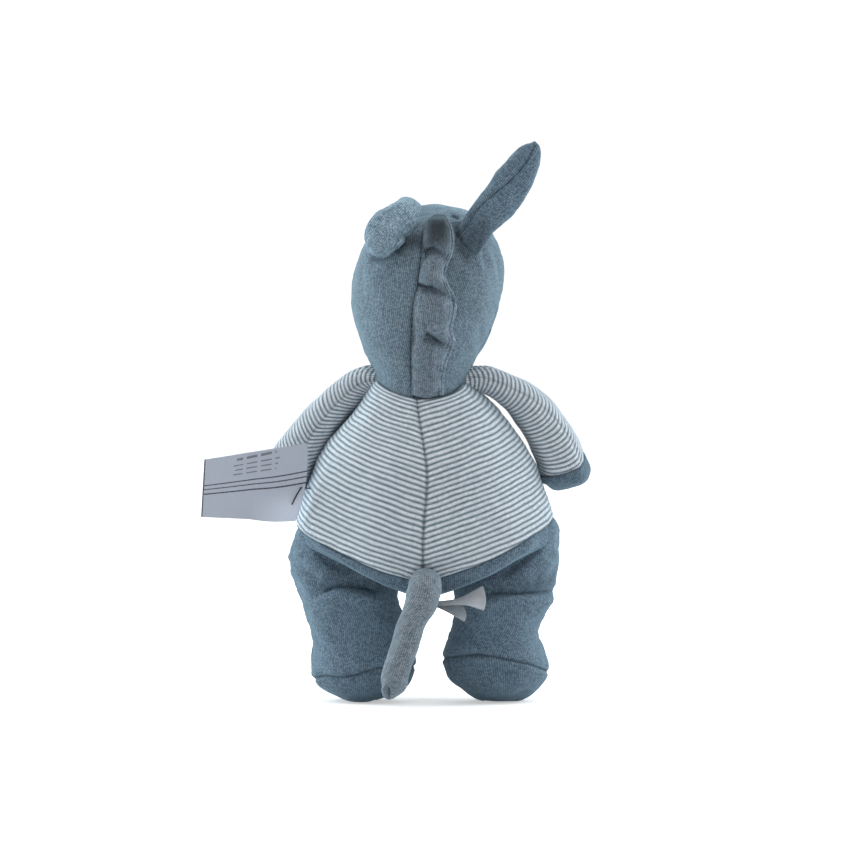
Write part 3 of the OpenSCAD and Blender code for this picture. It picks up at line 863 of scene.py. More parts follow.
def leg_shape(p, side):
    p.lumps(38, 1.0, 11 + side).lumps(14, 0.35, 13 + side)
    for line, depth, width, mark in hip_creases[side]:
        p.crease(line, depth, width, mark=mark)
        p.crease([(x, z + 1.5) for x, z in line], 0.8 * depth, width, back=False, mark=0.4 * mark)
    for line in hip_shadows[side]:
        p.shade(line, 5.5, 0.42)
    drag = waves(p.p * [0.35, 0.35, 1.0], 5.5, 17 + side)
    edge = smooth(np.abs(p.n[..., 0]), 0.35, 0.95)
    p.push(0.22 * drag * (0.25 + edge) * smooth(p.p[..., 2], 30, 45))
    return p


LEG_TOP = 114.0
SOLE_FLAT = 2.5  # below this height the knit lies flat across the sole

legs = {}
for side, word in SIDES:
    form = stacked(leg_form_rows(side))
    seam = sole_seam(side)
    for half, u0 in (("back", 180), ("front", 0)):
        p = Patch(form, u0, u0 + 180, 84, seam, LEG_TOP, 84)
        leg_shape(p, side)
        p.seam(["v0"], 0.95, 1.3, 0.45, 6.0)
        p.seam(["u0", "u1"], 0.4, 1.2, 0.2)
        p.push(0.35 * bell(p.edge["v0"] - 4.0, 3.0))
        legs[word, half] = grid_object(f"leg_{word}_{half}_cover", p, knit_leg)
    p = Patch(form, 0, 360, 150, 0.35, seam, 40)
    leg_shape(p, side)
    p.seam(["v1"], 0.95, 1.3, 0.45, 6.0)
    p.push(0.35 * bell(p.edge["v1"] - 4.0, 3.0))
    p.p[..., 2] = np.maximum(p.p[..., 2], 0.15)
    flat = p.p[..., 2] < SOLE_FLAT
    p.map_u = np.where(flat, p.p[..., 0], np.radians(p.u) * 0.9 * FOOT_W)
    p.map_v = np.where(flat, p.p[..., 1], p.map_v)
    # painted shade: the soles are darker all over
    p.seam_and_shade = p.seam_and_shade + 0.15
    legs[word, "sole"] = grid_object(f"leg_{word}_sole_cover", p, knit_leg, wrap=True, cap_start=True)


# ---- Head ----

FACE_LO, FACE_HI = box_mm("face_panel")
HEAD_W = (FACE_HI[0] - FACE_LO[0]) / 2
HEAD_D = 43.0
head_rows = [
    (172, 0.56 * HEAD_W, 0.56 * HEAD_D, NECK_SHIFT, -0.5),
    (184, 0.60 * HEAD_W, 0.67 * HEAD_D, NECK_SHIFT, -0.5),
    (195, 0.625 * HEAD_W, 0.71 * HEAD_D, -3.4, 0.0),
    (203, 0.69 * HEAD_W, 0.76 * HEAD_D, -2.7, 0.6),
    (213, 0.80 * HEAD_W, 0.85 * HEAD_D, -2.6, 1.6),
    (223, 0.885 * HEAD_W, 0.93 * HEAD_D, -1.2, 2.2),
    (232, 0.95 * HEAD_W, 0.975 * HEAD_D, -0.6, 2.6),
    (242, 0.992 * HEAD_W, 1.0 * HEAD_D, 0.1, 2.8),
    (252, 1.012 * HEAD_W, 1.005 * HEAD_D, 1.0, 2.8),
    (262, 1.008 * HEAD_W, 0.995 * HEAD_D, 2.0, 2.6),
    (271, 0.955 * HEAD_W, 0.955 * HEAD_D, 2.9, 2.2),
    (279, 0.86 * HEAD_W, 0.87 * HEAD_D, 3.7, 1.8),
    (287, 0.70 * HEAD_W, 0.72 * HEAD_D, 4.4, 1.2),
    (293, 0.52 * HEAD_W, 0.54 * HEAD_D, 5.0, 0.6),
    (297, 0.33 * HEAD_W, 0.34 * HEAD_D, 5.4, 0.2),
    (HEAD_TOP_Z + 0.3, 0.04 * HEAD_W, 0.04 * HEAD_D, 5.6, 0.0),
]
head_round = stacked(head_rows)
head_seam_x = [
    (170, -6), (183, -7), (200, -9), (226, -8.4), (250, -4.8),
    (265, -3.2), (280, -1.6), (290, 3.0), (300, 5.0),
]
head_seam_u = seam_u(head_seam_x, head_rows)
HEAD_LOW = 176.0
HEAD_SIDE_L, HEAD_SIDE_R = 183, -3  # the side seams, in degrees round the head


def head_z(v):
    """Heights drawn together towards the top, so that the crown's cells stay even."""
    return HEAD_LOW + (HEAD_TOP_Z - HEAD_LOW) * np.sin(np.clip(v, 0, 1) * np.pi / 2)


def head_v(z):
    return np.arcsin(np.clip((np.asarray(z, float) - HEAD_LOW) / (HEAD_TOP_Z - HEAD_LOW), 0, 1)) * 2 / np.pi


def head_form(u, v):
    return head_round(u, head_z(v))


def crown_edge(u):
    return head_v(283.0 + 3.4 * smooth(back(u), 0.1, 0.85))


def head_seam_of_v(v):
    return head_seam_u(head_z(v))


def head_shape(p):
    p.lumps(40, 0.8, 21).lumps(15, 0.25, 22)
    p.crease([(39.6, 272), (43.0, 262), (44.6, 250)], 0.9, 1.3, mark=-0.2)
    p.crease([(32.6, 273), (34.5, 266), (36.4, 257)], 0.7, 1.3, mark=0.1)
    p.crease([(-37, 270), (-38.6, 255), (-38.2, 238)], 0.5, 1.6, mark=0.05)
    p.crease([(13.2, 292.6), (17.3, 291.2), (21.6, 289.2)], 1.8, 1.5, mark=0.3)
    p.crease([(18, 284), (26, 276), (31, 268)], 1.2, 2.2, mark=0.2)
    p.crease([(-34, 268), (-26, 270), (-14, 279)], 1.4, 3.0, mark=0.3)
    # painted shade from the ears and the mane's top, and in a small pucker by the crown seam
    p.shade([(-17, 272), (-9, 276), (-2, 276.5)], 6.0, 1.15)
    p.shade([(-32, 265.8), (-25, 265.6), (-17, 271), (-12, 277)], 2.0, 0.9)
    p.shade([(18.5, 283), (20, 276), (24, 268)], 5.0, 1.0)
    p.shade([(20, 282), (24, 262), (22, 240)], 9.0, 0.3)
    p.shade([(16.4, 291.5), (18.8, 290.5)], 1.3, 1.45)
    return p


def head_panel(u0, u1, nu, v0, v1, nv, edges, turn=0.0, from_u1=False):
    p = Patch(head_form, u0, u1, nu, v0, v1, nv, dv=LIMB_STEP)
    p.map_u = p.edge["u1"] if from_u1 else p.edge["u0"]
    p.turned(turn)
    head_shape(p)
    for edge in edges:
        p.seam([edge], *((0.35, 1.2, 0.15, 5.0, 0.25) if edge[0] == "v" else (0.8, 1.5, 0.25)))
    return p


SEWN = ["u0", "u1", "v1"]
HEAD_TURN = -14
p = head_panel(HEAD_SIDE_L, head_seam_of_v, 64, 0.0, crown_edge, 100, SEWN, HEAD_TURN, True)
head_back_left = grid_object("head_back_left_cover", p, knit_head)
p = head_panel(head_seam_of_v, 360 + HEAD_SIDE_R, 64, 0.0, crown_edge, 100, SEWN, HEAD_TURN)
head_back_right = grid_object("head_back_right_cover", p, knit_head)
p = head_panel(HEAD_SIDE_R, HEAD_SIDE_L, 110, 0.0, crown_edge, 100, SEWN)
face_panel = grid_object("face_panel_cover", p, knit_head)
p = head_panel(-15, 345, 150, crown_edge, 0.99, 34, ["v0"])
head_crown = grid_object("head_crown_cover", p, knit_head_lit, wrap=True, cap=True)


# ---- Mane: a gathered flap, sewn into the middle seam and lying over to the right ----

mane_rows = [
    # z, attached edge x, free edge x, how full it is
    (184.0, -9.0, 10.6, 0.50),
    (190.0, -8.6, 10.9, 0.70),
    (198.0, -8.6, 11.2, 0.85),
    (206.0, -8.6, 13.2, 0.95),
    (213.0, -8.3, 16.2, 0.90),
    (218.0, -7.2, 17.6, 0.75),
    (224.0, -7.2, 15.9, 0.90),
    (231.0, -7.9, 17.5, 1.00),
    (238.0, -7.2, 18.4, 1.00),
    (244.0, -6.2, 17.0, 0.85),
    (250.0, -4.8, 13.6, 0.75),
    (256.0, -4.1, 12.0, 0.95),
    (263.0, -2.6, 13.0, 1.00),
    (268.6, -0.4, 15.6, 0.80),
    (272.5, -1.6, 16.6, 0.85),
    (278.0, -1.9, 17.0, 1.05),
    (284.0, -1.4, 16.0, 1.10),
    (289.0, 0.8, 13.4, 1.00),
    (292.8, 5.6, 11.0, 0.55),
]
MANE_H = 7.4
mane_tucks = [
    # the line of the tuck, which is sharp where it starts, and its depth
    ([(-3.0, 268.0), (0.5, 271.4), (4.5, 272.0), (8.0, 269.5), (12.0, 265.0)], 4.8),
    ([(-7.0, 249.0), (-3.0, 250.2), (3.5, 249.8), (9.0, 245.5), (15.0, 241.0)], 4.4),
    ([(-1.0, 221.5), (3.0, 219.5), (8.0, 216.5), (13.0, 215.6), (20.0, 217.8)], 3.8),
    ([(17.0, 259.0), (11.0, 257.5), (7.0, 258.5)], 1.4),
    ([(-10.0, 203.0), (-5.0, 201.0), (1.0, 203.0)], 1.4),
]


def head_wall(x, z):
    """The middle of the head from front to back, and the half depth, at a place in the view from behind."""
    r = curve(head_rows, z)
    return r[..., 4], r[..., 2] * np.sqrt(np.maximum(0.02, 1 - ((x - r[..., 3]) / r[..., 1]) ** 2))


def mane_sheet(nu=48, nv=170):
    s, t = square_grid(nu, nv)
    z = mix(mane_rows[0][0], mane_rows[-1][0], t)
    r = curve(mane_rows, z)
    x = mix(r[..., 1], r[..., 2], s)
    full = r[..., 3]
    puff = np.sin(np.pi * np.clip(s * 0.93 + 0.03, 0, 1)) ** 0.55
    high = MANE_H * full * puff
    # The free edge is a flat double lip with two rows of stitching
    lip = smooth(s, 0.82, 0.90)
    high = mix(high, 3.4 + 1.2 * np.sin(z * 0.38 + 1.0) * full, lip)
    high = high - 0.7 * bell(s - 0.83, 0.02)
    # painted shade over the top of the mane, where the crown and ears keep the light away
    dark = 1.45 * np.exp(-(((x - 7.0) / 7.5) ** 4) - ((z - 283) / 10.5) ** 4)
    for line, depth in mane_tucks:
        dist, place, above = near_line(np.stack([x, z], -1), line)
        fade = smooth(place, 0, 0.08) * (1 - 0.75 * smooth(place, 0.3, 1.0))
        upper = smooth(above, -0.5, 0.5)
        dip = bell(dist, mix(3.6, 1.3, upper))
        high = high - 1.2 * depth * fade * dip + 0.5 * depth * fade * upper * bell(dist - 4.4, 2.8)
        sharp = smooth(place, 0, 0.1) * (1 - smooth(place, 0.25, 0.75))
        # painted shade along the sharp start of each tuck
        dark = np.maximum(dark, 1.3 * min(1, depth / 4) * sharp * bell(dist, 1.3))
    high = high + 0.35 * waves(np.stack([x, 0 * x, z], -1), 9, 41) * puff
    high = np.maximum(high * smooth(1 - t, 0, 0.035), 0.4)
    ripple = 0.8 * np.sin(s * 7.0 + z * 0.11) * smooth(z, 291, 284)
    middle, half = head_wall(x, z)
    p = np.stack([x, middle - half - high, z + ripple], -1)
    # the light thread of the two rows of stitching, with a dark line between them and one beside them
    rows = 0.8 * bell(s - 0.88, 0.020) + 1.2 * bell(s - 0.965, 0.020)
    beside = 0.5 * bell(s - 0.922, 0.012) + 0.4 * bell(s - 0.835, 0.014)
    rows_end = smooth(p[..., 2], 292, 288)
    seam_and_shade = rows_end * (beside - rows) + dark + 1.3 * bell(s, 0.03)
    return Sheet(p, np.clip(seam_and_shade, -1.1, 1.45))


mane = grid_object("mane_cover", mane_sheet(), knit_mane, thick=1.3)


# ---- Ears ----

ear_right_rows = [
    (0.00, 17.5, -25.0, 265.5, 7.2, 1.8),
    (0.06, 22.2, -30.6, 272.4, 8.9, 3.8),
    (0.14, 28.2, -30.2, 280.6, 9.5, 5.0),
    (0.24, 33.1, -27.4, 288.2, 10.2, 5.6),
    (0.32, 37.6, -24.6, 293.6, 10.8, 5.9),
    (0.43, 43.9, -21.6, 300.6, 11.6, 6.2),
    (0.58, 51.3, -18.2, 311.0, 11.3, 6.2),
    (0.76, 58.8, -15.0, 323.1, 9.5, 5.6),
    (0.88, 62.9, -13.6, 330.0, 6.8, 4.4),
    (0.95, 64.7, -13.1, 334.0, 4.2, 3.0),
    (1.00, 65.2, -12.8, 336.8, 0.6, 0.6),
]
ear_right_form = limb(ear_right_rows, [1, 0, -0.6])


def ear_right_seam(v):
    """The seam that faces the back runs from the base's upper side to the middle of the tip."""
    return line_at([(0, 233), (0.24, 235), (0.43, 246), (0.58, 262), (0.76, 273), (1, 270)], v)


def ear_half(form, u0, u1, nu, nv):
    return Patch(form, u0, u1, nu, 0.02, 0.9985, nv, dv=LIMB_STEP)


def ear_right_half(name, u0, u1, seam_edge, turn):
    p = ear_half(ear_right_form, u0, u1, 44, 72)
    p.turned(turn)
    p.lumps(16, 0.45, 51).lumps(7, 0.12, 52)
    # painted shade on the back of the ear's base and where it meets the head
    p.seam_and_shade = 0.75 * (1 - smooth(p.v, 0.08, 0.42)) * smooth(-p.n[..., 1], -0.2, 0.5)
    p.shade([(17.5, 283), (20, 275), (24, 268)], 4.5, 1.4)
    p.seam([seam_edge], 0.75, 1.0, 0.25, 4.0)
    return grid_object(name, p, knit_leg, thick=0.7)


ear_right_outer = ear_right_half("ear_right_outer_cover", ear_right_seam, 450, "u0", -6)
ear_right_inner = ear_right_half("ear_right_inner_cover", 90, ear_right_seam, "u1", 6)

# The other ear stands up from the crown seam, folds over and lies on the back of the head
ear_left_rows = [
    (0.00, -8.5, 6.0, 292.0, 7.0, 2.4),
    (0.12, -8.0, 2.0, 295.8, 8.6, 3.4),
    (0.24, -8.4, -6.0, 296.8, 9.4, 5.2),
    (0.38, -10.8, -16.0, 293.4, 10.4, 7.4),
    (0.52, -15.4, -25.5, 289.6, 11.2, 8.0),
    (0.66, -21.4, -32.5, 284.6, 12.0, 7.8),
    (0.79, -25.8, -37.5, 278.0, 11.4, 7.4),
    (0.89, -27.2, -40.0, 272.4, 9.2, 6.4),
    (0.96, -27.5, -41.2, 268.6, 5.8, 4.6),
    (1.00, -27.6, -41.6, 266.6, 0.6, 0.6),
]
ear_left_form = limb(ear_left_rows, [0.8, 0.1, -0.5])


def ear_left_half(name, u0):
    p = ear_half(ear_left_form, u0, u0 + 180, 52, 76)
    p.lumps(18, 0.5, 61).lumps(7, 0.12, 62)
    p.crease([(-3.4, 295.5), (-6.5, 298.2), (-10, 300.2)], 0.9, 0.9, mark=0.8)
    p.crease([(-9.0, 279.0), (-14.5, 278.5), (-18.0, 274.0)], 1.8, 2.6, mark=0.3)
    p.seam(["u0", "u1"], 0.6, 1.0, 0.2, 4.0)
    return grid_object(name, p, knit_head_lit, thick=0.7)


ear_left_outer = ear_left_half("ear_left_outer_cover", 180)
ear_left_inner = ear_left_half("ear_left_inner_cover", 0)


# ---- Arms ----

def arm_rows(side):
    """The left arm hangs a little closer and is thinner at the shoulder."""
    if side == RIGHT:
        rows = [
            (0.00, 20.0, 194.0, 6.8), (0.10, 36.0, 193.6, 8.4), (0.24, 52.0, 185.8, 10.3),
            (0.38, 62.3, 177.4, 12.2), (0.55, 72.6, 163.6, 13.9), (0.70, 78.9, 151.0, 15.0),
            (0.82, 83.0, 140.5, 15.3), (0.90, 84.8, 134.6, 14.3),
        ]
    else:
        rows = [
            (0.00, 20.0, 194.5, 6.6), (0.10, 35.2, 194.0, 8.4), (0.24, 47.8, 185.4, 10.1),
            (0.38, 57.9, 175.3, 11.5), (0.55, 69.1, 161.4, 13.0), (0.70, 76.8, 149.2, 14.2),
            (0.82, 81.9, 139.6, 15.0), (0.90, 84.0, 133.8, 14.0),
        ]
    rows += [(0.96, 85.5, 130.2, 10.4), (0.99, 85.8, 128.4, 5.6), (1.00, 85.9, 127.8, 0.8)]
    forward = 5.0 if side == LEFT else 0.0
    return [(v, side * x, forward * min(1, 6 * v) - 1.0, z, r, r * 0.97) for v, x, z, r in rows]


def arm_form(side):
    return limb(arm_rows(side), [side * 0.5, 0, 1.0])


def arm_covers(side, word):
    """The sleeve, striped in arrowheads down the back of the arm, and the plain hand below its cuff."""
    rows = arm_rows(side)
    form = arm_form(side)
    back_u = facing_angle(form, (0, -1, 0))
    outer_u = facing_angle(form, (side, 0, 0))
    turn = 1.0 if (outer_u - back_u + 540) % 360 - 180 > 0 else -1.0
    cuff = 0.852 if side == RIGHT else 0.90

    def round_from_back(u):
        """Degrees round the arm from the middle of its back, counted towards the outer side."""
        return ((u - back_u + 540) % 360 - 180) * turn

    def cuff_v(u):
        d = round_from_back(u)
        return cuff - np.where(d > 0, 0.085, 0.05) * np.minimum((d / 90) ** 2, 1.3)

    start = back_u - 180
    p = Patch(form, start, start + 360, 120, 0.0, cuff_v, 110, dv=LIMB_STEP)
    stations = np.linspace(0, 1, 60)
    steps = np.linalg.norm(np.diff(curve(rows, stations)[:, 1:4], axis=0), axis=1)
    lengths = np.concatenate([[0], np.cumsum(steps)])
    length = line_at(np.stack([stations, lengths], 1), p.v)
    wide = curve(rows, p.v)[..., 4]
    arc = np.radians(round_from_back(p.u)) * wide
    if side == RIGHT:
        away = arc - np.radians(10 + 36 * smooth(p.v, 0.1, 0.75)) * wide
        chevron = 0.020 * np.minimum(np.abs(arc), 26) ** 2 + 0.17 * (away + np.sqrt(away**2 + 12))
    else:
        away = arc - np.radians(4 * np.sin(p.v * 5) - 4) * wide
        rounded = np.sqrt(away**2 + 2.0) - 1.4
        chevron = np.where(away > 0, 0.32 * rounded + 0.014 * np.minimum(away, 26) ** 2, 0.72 * rounded)
    p.map_u = away
    p.map_v = -1.13 * (length + chevron)
    p.lumps(30, 0.6, 71 + side).lumps(11, 0.2, 73 + side)
    near = np.abs(away)
    p.push(-0.6 * bell(near, 1.3) + 0.15 * waves(p.p, 4, 75) * bell(near, 4))
    p.seam_and_shade = 0.5 * bell(near, 0.6)
    # painted shade down the arm's inner side, next to the body
    inner = -side * p.n[..., 0] * smooth(p.v, 0.02, 0.12)
    p.mark((1.6 if side == LEFT else 0.7) * smooth(inner, 0.50, 0.80))
    p.push(0.35 * smooth(0.22 - p.v, 0, 0.2) * np.sin(np.radians(p.u) * 15))
    p.seam(["v1"], 0.5, 1.2, 0.15)
    sleeve = grid_object(f"arm_{word}_sleeve_cover", p, knit_stripe, wrap=True, cap_start=True)
    p = Patch(form, start, start + 360, 96, cuff_v, 0.998, 40, dv=LIMB_STEP)
    p.lumps(14, 0.5, 77 + side)
    # painted shade: the hands are darker all over
    p.seam_and_shade = p.seam_and_shade + 0.3
    p.seam(["v0"], 0.5, 1.2, 0.15)
    return sleeve, grid_object(f"arm_{word}_hand_cover", p, knit_leg, wrap=True, cap=True)


arms = {word: arm_covers(side, word) for side, word in SIDES}


# ---- Tail ----

TAIL_Y = box_mm("tail_cover")[0][1] + 9.3
tail_rows = [
    (0.00, -0.4, TAIL_Y + 14.0, 76.0, 7.6, 7.0),
    (0.06, -0.2, TAIL_Y + 8.0, 74.6, 9.4, 8.2),
    (0.15, -0.8, TAIL_Y + 3.0, 70.2, 10.2, 9.0),
    (0.26, -3.2, TAIL_Y + 1.0, 62.4, 9.9, 9.0),
    (0.40, -8.4, TAIL_Y + 0.3, 50.4, 8.2, 8.1),
    (0.56, -12.6, TAIL_Y, 37.4, 8.0, 7.8),
    (0.72, -16.6, TAIL_Y, 25.4, 8.1, 7.8),
    (0.86, -18.8, TAIL_Y, 16.0, 7.4, 7.2),
    (0.94, -20.8, TAIL_Y, 10.8, 4.9, 5.0),
    (0.985, -22.0, TAIL_Y, 7.2, 2.3, 2.5),
    (1.00, -22.4, TAIL_Y, 5.6, 0.5, 0.5),
]
tail_form = limb(tail_rows, [-1, 0, 0])
tail_back_u = facing_angle(tail_form, (0, -1, 0))
p = Patch(tail_form, tail_back_u - 180, tail_back_u + 180, 84, 0.0, 0.998, 110, dv=LIMB_STEP)
p.lumps(20, 0.5, 81).lumps(8, 0.15, 82)
p.crease([(-23.4, 15.0), (-22.2, 9.0), (-22.0, 5.0)], 2.8, 0.9, mark=1.0)
p.crease([(8, 66), (3, 60), (-2, 57)], 0.8, 2.0, mark=0.1)
tail = grid_object("tail_cover_knit", p, knit_pale, wrap=True, cap=True, cap_start=True)


# ---- Muzzle and face ----

MUZZLE_LO, MUZZLE_HI = box_mm("muzzle")
MUZZLE_Z = (MUZZLE_LO[2] + MUZZLE_HI[2]) / 2
MUZZLE_RX = (MUZZLE_HI[0] - MUZZLE_LO[0]) / 2
MUZZLE_RZ = (MUZZLE_HI[2] - MUZZLE_LO[2]) / 2
MUZZLE_TIP = MUZZLE_HI[1]


def muzzle_form(u, v):
    a = np.radians(u)
    v = np.clip(v, 0, 1)
    k = np.cos(v * np.pi / 2) ** 0.6
    x, z = MUZZLE_RX * np.cos(a), MUZZLE_Z - MUZZLE_RZ * np.sin(a)
    middle, half = head_wall(x, z)
    y = mix(middle + half - 1.5, MUZZLE_TIP, np.sin(v * np.pi / 2))
    return np.stack([x * k, y, MUZZLE_Z - MUZZLE_RZ * k * np.sin(a)], -1)


p = Patch(muzzle_form, 0, 360, 120, 0.0, 0.992, 56, dv=LIMB_STEP)
p.lumps(18, 0.5, 91).lumps(7, 0.12, 92)
middle = np.abs(p.p[..., 0])
p.push(-0.9 * bell(middle, 1.1) * smooth(p.v, 0.15, 0.5))
p.seam_and_shade = 0.6 * bell(middle, 0.6) * smooth(p.v, 0.15, 0.5)
p.seam(["v0"], 0.6, 1.4, 0.3)
muzzle = grid_object("muzzle_cover", p, knit_muzzle, wrap=True, cap=True)


def on_muzzle(u, v, lift):
    u, v = np.asarray(u, float), np.asarray(v, float)
    return muzzle_form(u, v) + normals(muzzle_form, u, v, LIMB_STEP) * lift


def stitches(place, count, radius):
    """Short rounded stitches side by side. place(k, w) gives the point of stitch k at w from -1 to 1."""
    return [tube([place(k, w) for w in np.linspace(-1, 1, 7)], radius, 8) for k in range(count)]


# The face's angles are degrees: the nostrils' and the mouth's round the muzzle, and the eyes' round the head
NOSTRIL_STITCHES = 9
NOSTRIL_OUT = 35
MOUTH_STITCHES = 11
MOUTH_START = 52
MOUTH_SWEEP = 76
EYE_OUT = 38


def nostril(side):
    centre = -90 + side * NOSTRIL_OUT

    def place(k, w):
        h = (k - NOSTRIL_STITCHES // 2) / 4.6
        reach = math.sqrt(max(0.05, 1 - h * h))
        return on_muzzle(centre + 7.0 * w * reach, 0.62 + 0.035 * h, 0.55 - 0.45 * w * w)
    return stitches(place, NOSTRIL_STITCHES, 0.32)


def mouth_point(k, w):
    u = MOUTH_START + MOUTH_SWEEP * (k + 0.5) / MOUTH_STITCHES + w * 2.9
    return on_muzzle(u, 0.60 - 0.03 * math.cos(math.radians(u - 90)) ** 2, 0.5 - 0.35 * w * w)


nostrils = joined_mesh("nostrils_stitched", nostril(LEFT) + nostril(RIGHT), thread)
mouth = joined_mesh("mouth_stitched", stitches(mouth_point, MOUTH_STITCHES, 0.42), thread)


def eye(side, word):
    """An eye worked in satin stitch: threads side by side over a low pad."""
    lo, hi = box_mm(f"eye_{word}")
    u0 = np.array(float(90 - side * EYE_OUT))
    v0 = head_v((lo[2] + hi[2]) / 2)
    spot = head_form(u0, v0)
    out = normals(head_form, u0, v0, LIMB_STEP)
    right = unit(np.cross(out, [0, 0, 1.0]))
    up = np.cross(right, out)
    r = (hi[2] - lo[2]) / 2
    turns, w = square_grid(56, 14)
    a = 2 * np.pi * turns
    rad = r * (1 - w)
    x, y = rad * np.cos(a), rad * np.sin(a) * 1.12
    high = 0.35 + 2.1 * np.sqrt(np.maximum(0, 1 - (rad / r) ** 2)) + 0.10 * np.sin(x * 2 * np.pi / 0.7)
    p = spot + x[..., None] * right + y[..., None] * up + high[..., None] * out
    skirt = spot + x[:1, :, None] * right + y[:1, :, None] * up - 0.8 * out
    sheet = Sheet(np.concatenate([skirt, p[:-1]]), maps=(x, y))
    return grid_object(f"eye_{word}_stitched", sheet, thread, wrap=True, cap=True, cap_start=True, thick=0)


eye_left = eye(LEFT, "left")
eye_right = eye(RIGHT, "right")


# ---- Labels ----

def label(name, rows, width_rows, nu=60, nv=16):
    """A satin strip. rows: (s, x, y, z) of its middle line, and width_rows: (s, wx, wy, wz) half widths."""
    s = np.linspace(0, 1, nu + 1)
    middle = curve(rows, s)[:, 1:4]
    half = curve(width_rows, s)[:, 1:4]
    t = np.linspace(-1, 1, nv + 1)[:, None, None]
    p = middle[None] + t * half[None]
    p[..., 0] -= 1.6 * t[..., 0] ** 2 * s**3
    return grid_object(name, Sheet(p), satin, thick=0.25)


leaf = label(
    "care_label_leaf_cloth",
    [(0, 0.5, -37.0, 61.8), (0.3, 7.0, -41.0, 60.6), (0.65, 15.0, -43.4, 58.4), (1, 23.8, -42.8, 55.6)],
    [(0, 0.2, 6.2, 0.4), (0.4, 0.3, 6.0, 1.2), (0.75, 0.2, 5.4, 2.8), (1, -0.5, 4.6, 4.4)],
)
ribbon = label(
    "care_label_ribbon_cloth",
    [
        (0, -1.0, -37.0, 61.2), (0.3, 9.0, -43.0, 61.9), (0.55, 18.0, -46.0, 62.9),
        (0.75, 26.0, -46.8, 64.2), (1, 35.4, -45.6, 65.0),
    ],
    [
        (0, 0.2, 6.8, 0.8), (0.3, 0.2, 6.8, 1.0), (0.55, 0.0, 6.6, 1.4),
        (0.72, -0.2, 6.0, 2.8), (0.87, -0.3, 4.6, 5.2), (1, -0.4, 2.0, 7.2),
    ],
)

TAG_LO, TAG_HI = box_mm("hang_tag")
TAG_Y = (TAG_LO[1] + TAG_HI[1]) / 2
TAG_W = TAG_HI[0] - TAG_LO[0]
TAG_H = TAG_HI[2] - TAG_LO[2]


def tag_sheet(nu=90, nv=66):
    s, t = square_grid(nu, nv)
    low_left = np.array([TAG_LO[0] + 0.2, TAG_LO[2] + 2.0])
    low_right = np.array([TAG_HI[0] - 0.10 * TAG_W, TAG_LO[2] - 0.4])
    top_left = np.array([TAG_LO[0] + 0.035 * TAG_W, TAG_HI[2] - 0.208 * TAG_H])
    top_right = np.array([TAG_HI[0] + 0.9, TAG_HI[2] + 0.2])
    q = (
        low_left * ((1 - s) * (1 - t))[..., None] + low_right * (s * (1 - t))[..., None]
        + top_left * ((1 - s) * t)[..., None] + top_right * (s * t)[..., None]
    )
    x, z = q[..., 0], q[..., 1]
    x = x + 2.6 * s * np.sin(np.pi * t)
    z = z - 1.1 * np.sin(np.pi * np.clip((s - 0.5) / 0.5, 0, 1)) * (1 - t)
    curl = -3.2 * np.sin(np.pi * s) * (0.6 + 0.4 * t) + 3.4 * (1 - t) ** 2 * smooth(s, 0.4, 0.8) - 0.5 * s
    return Sheet(np.stack([x, TAG_Y - 1.0 + curl, z], -1), maps=(s * TAG_W, t * TAG_H))


tag = grid_object("hang_tag_card", tag_sheet(), card, thick=0.4)

PIN_LO, PIN_HI = box_mm("tag_pin")
PIN_SPAN = PIN_HI - PIN_LO
pin_rod = tube(
    [
        (PIN_LO[0] + 0.2, TAG_Y - 1.0, PIN_LO[2] - 0.2),
        (PIN_LO[0] + 0.15 * PIN_SPAN[0], TAG_Y - 2.9, PIN_LO[2] + 0.32 * PIN_SPAN[2]),
        (PIN_LO[0] + 0.30 * PIN_SPAN[0], TAG_Y - 2.9, PIN_LO[2] + 0.66 * PIN_SPAN[2]),
        (PIN_LO[0] + 0.45 * PIN_SPAN[0], TAG_Y - 2.4, PIN_HI[2] - 0.4),
        (PIN_LO[0] + 0.52 * PIN_SPAN[0], TAG_Y + 0.5, PIN_HI[2] + 0.1),
        (PIN_LO[0] + 0.75 * PIN_SPAN[0], TAG_Y + 6.0, PIN_HI[2] - 0.6),
        (PIN_HI[0] + 1.0, TAG_Y + 10.0, PIN_HI[2] - 1.2),
    ],
    [0.42, 0.5, 0.5, 0.5, 0.45, 0.4, 0.4],
)
pin = joined_mesh("tag_pin_plastic", [pin_rod], pin_black)


# ---- Fillings, well inside their covers ----

def filling(name, form, v0, v1, inset, nu=36, nv=28, dv=LIMB_STEP):
    p = Patch(form, 0, 360, nu, v0, v1, nv, dv=dv)
    p.push(-inset + 0.5 * waves(p.p, 12, 5))
    return grid_object(name, p, fibre, wrap=True, cap=True, cap_start=True, thick=0)


torso_filling = filling("torso_filling", torso_form, 100, 176, 6.0, dv=STACK_STEP)
head_filling = filling("head_filling", head_form, 0.28, 0.93, 5.0)
muzzle_filling = filling("muzzle_filling_fibre", muzzle_form, 0.35, 0.93, 3.5)
ear_left_filling = filling("ear_left_filling_fibre", ear_left_form, 0.32, 0.9, 4.4, 24, 24)
ear_right_filling = filling("ear_right_filling_fibre", ear_right_form, 0.32, 0.92, 2.2, 24, 24)
tail_filling = filling("tail_filling_fibre", tail_form, 0.2, 0.93, 2.6, 24, 24)
fillings = {
    # the CAD node, with its piece and the body that it rides on
    "torso_stuffing": (torso_filling, "torso"),
    "head_stuffing": (head_filling, "head"),
    "muzzle_filling": (muzzle_filling, "head"),
    "ear_left_filling": (ear_left_filling, "ear_left"),
    "ear_right_filling": (ear_right_filling, "ear_right"),
    "tail_stuffing": (tail_filling, "tail"),
}
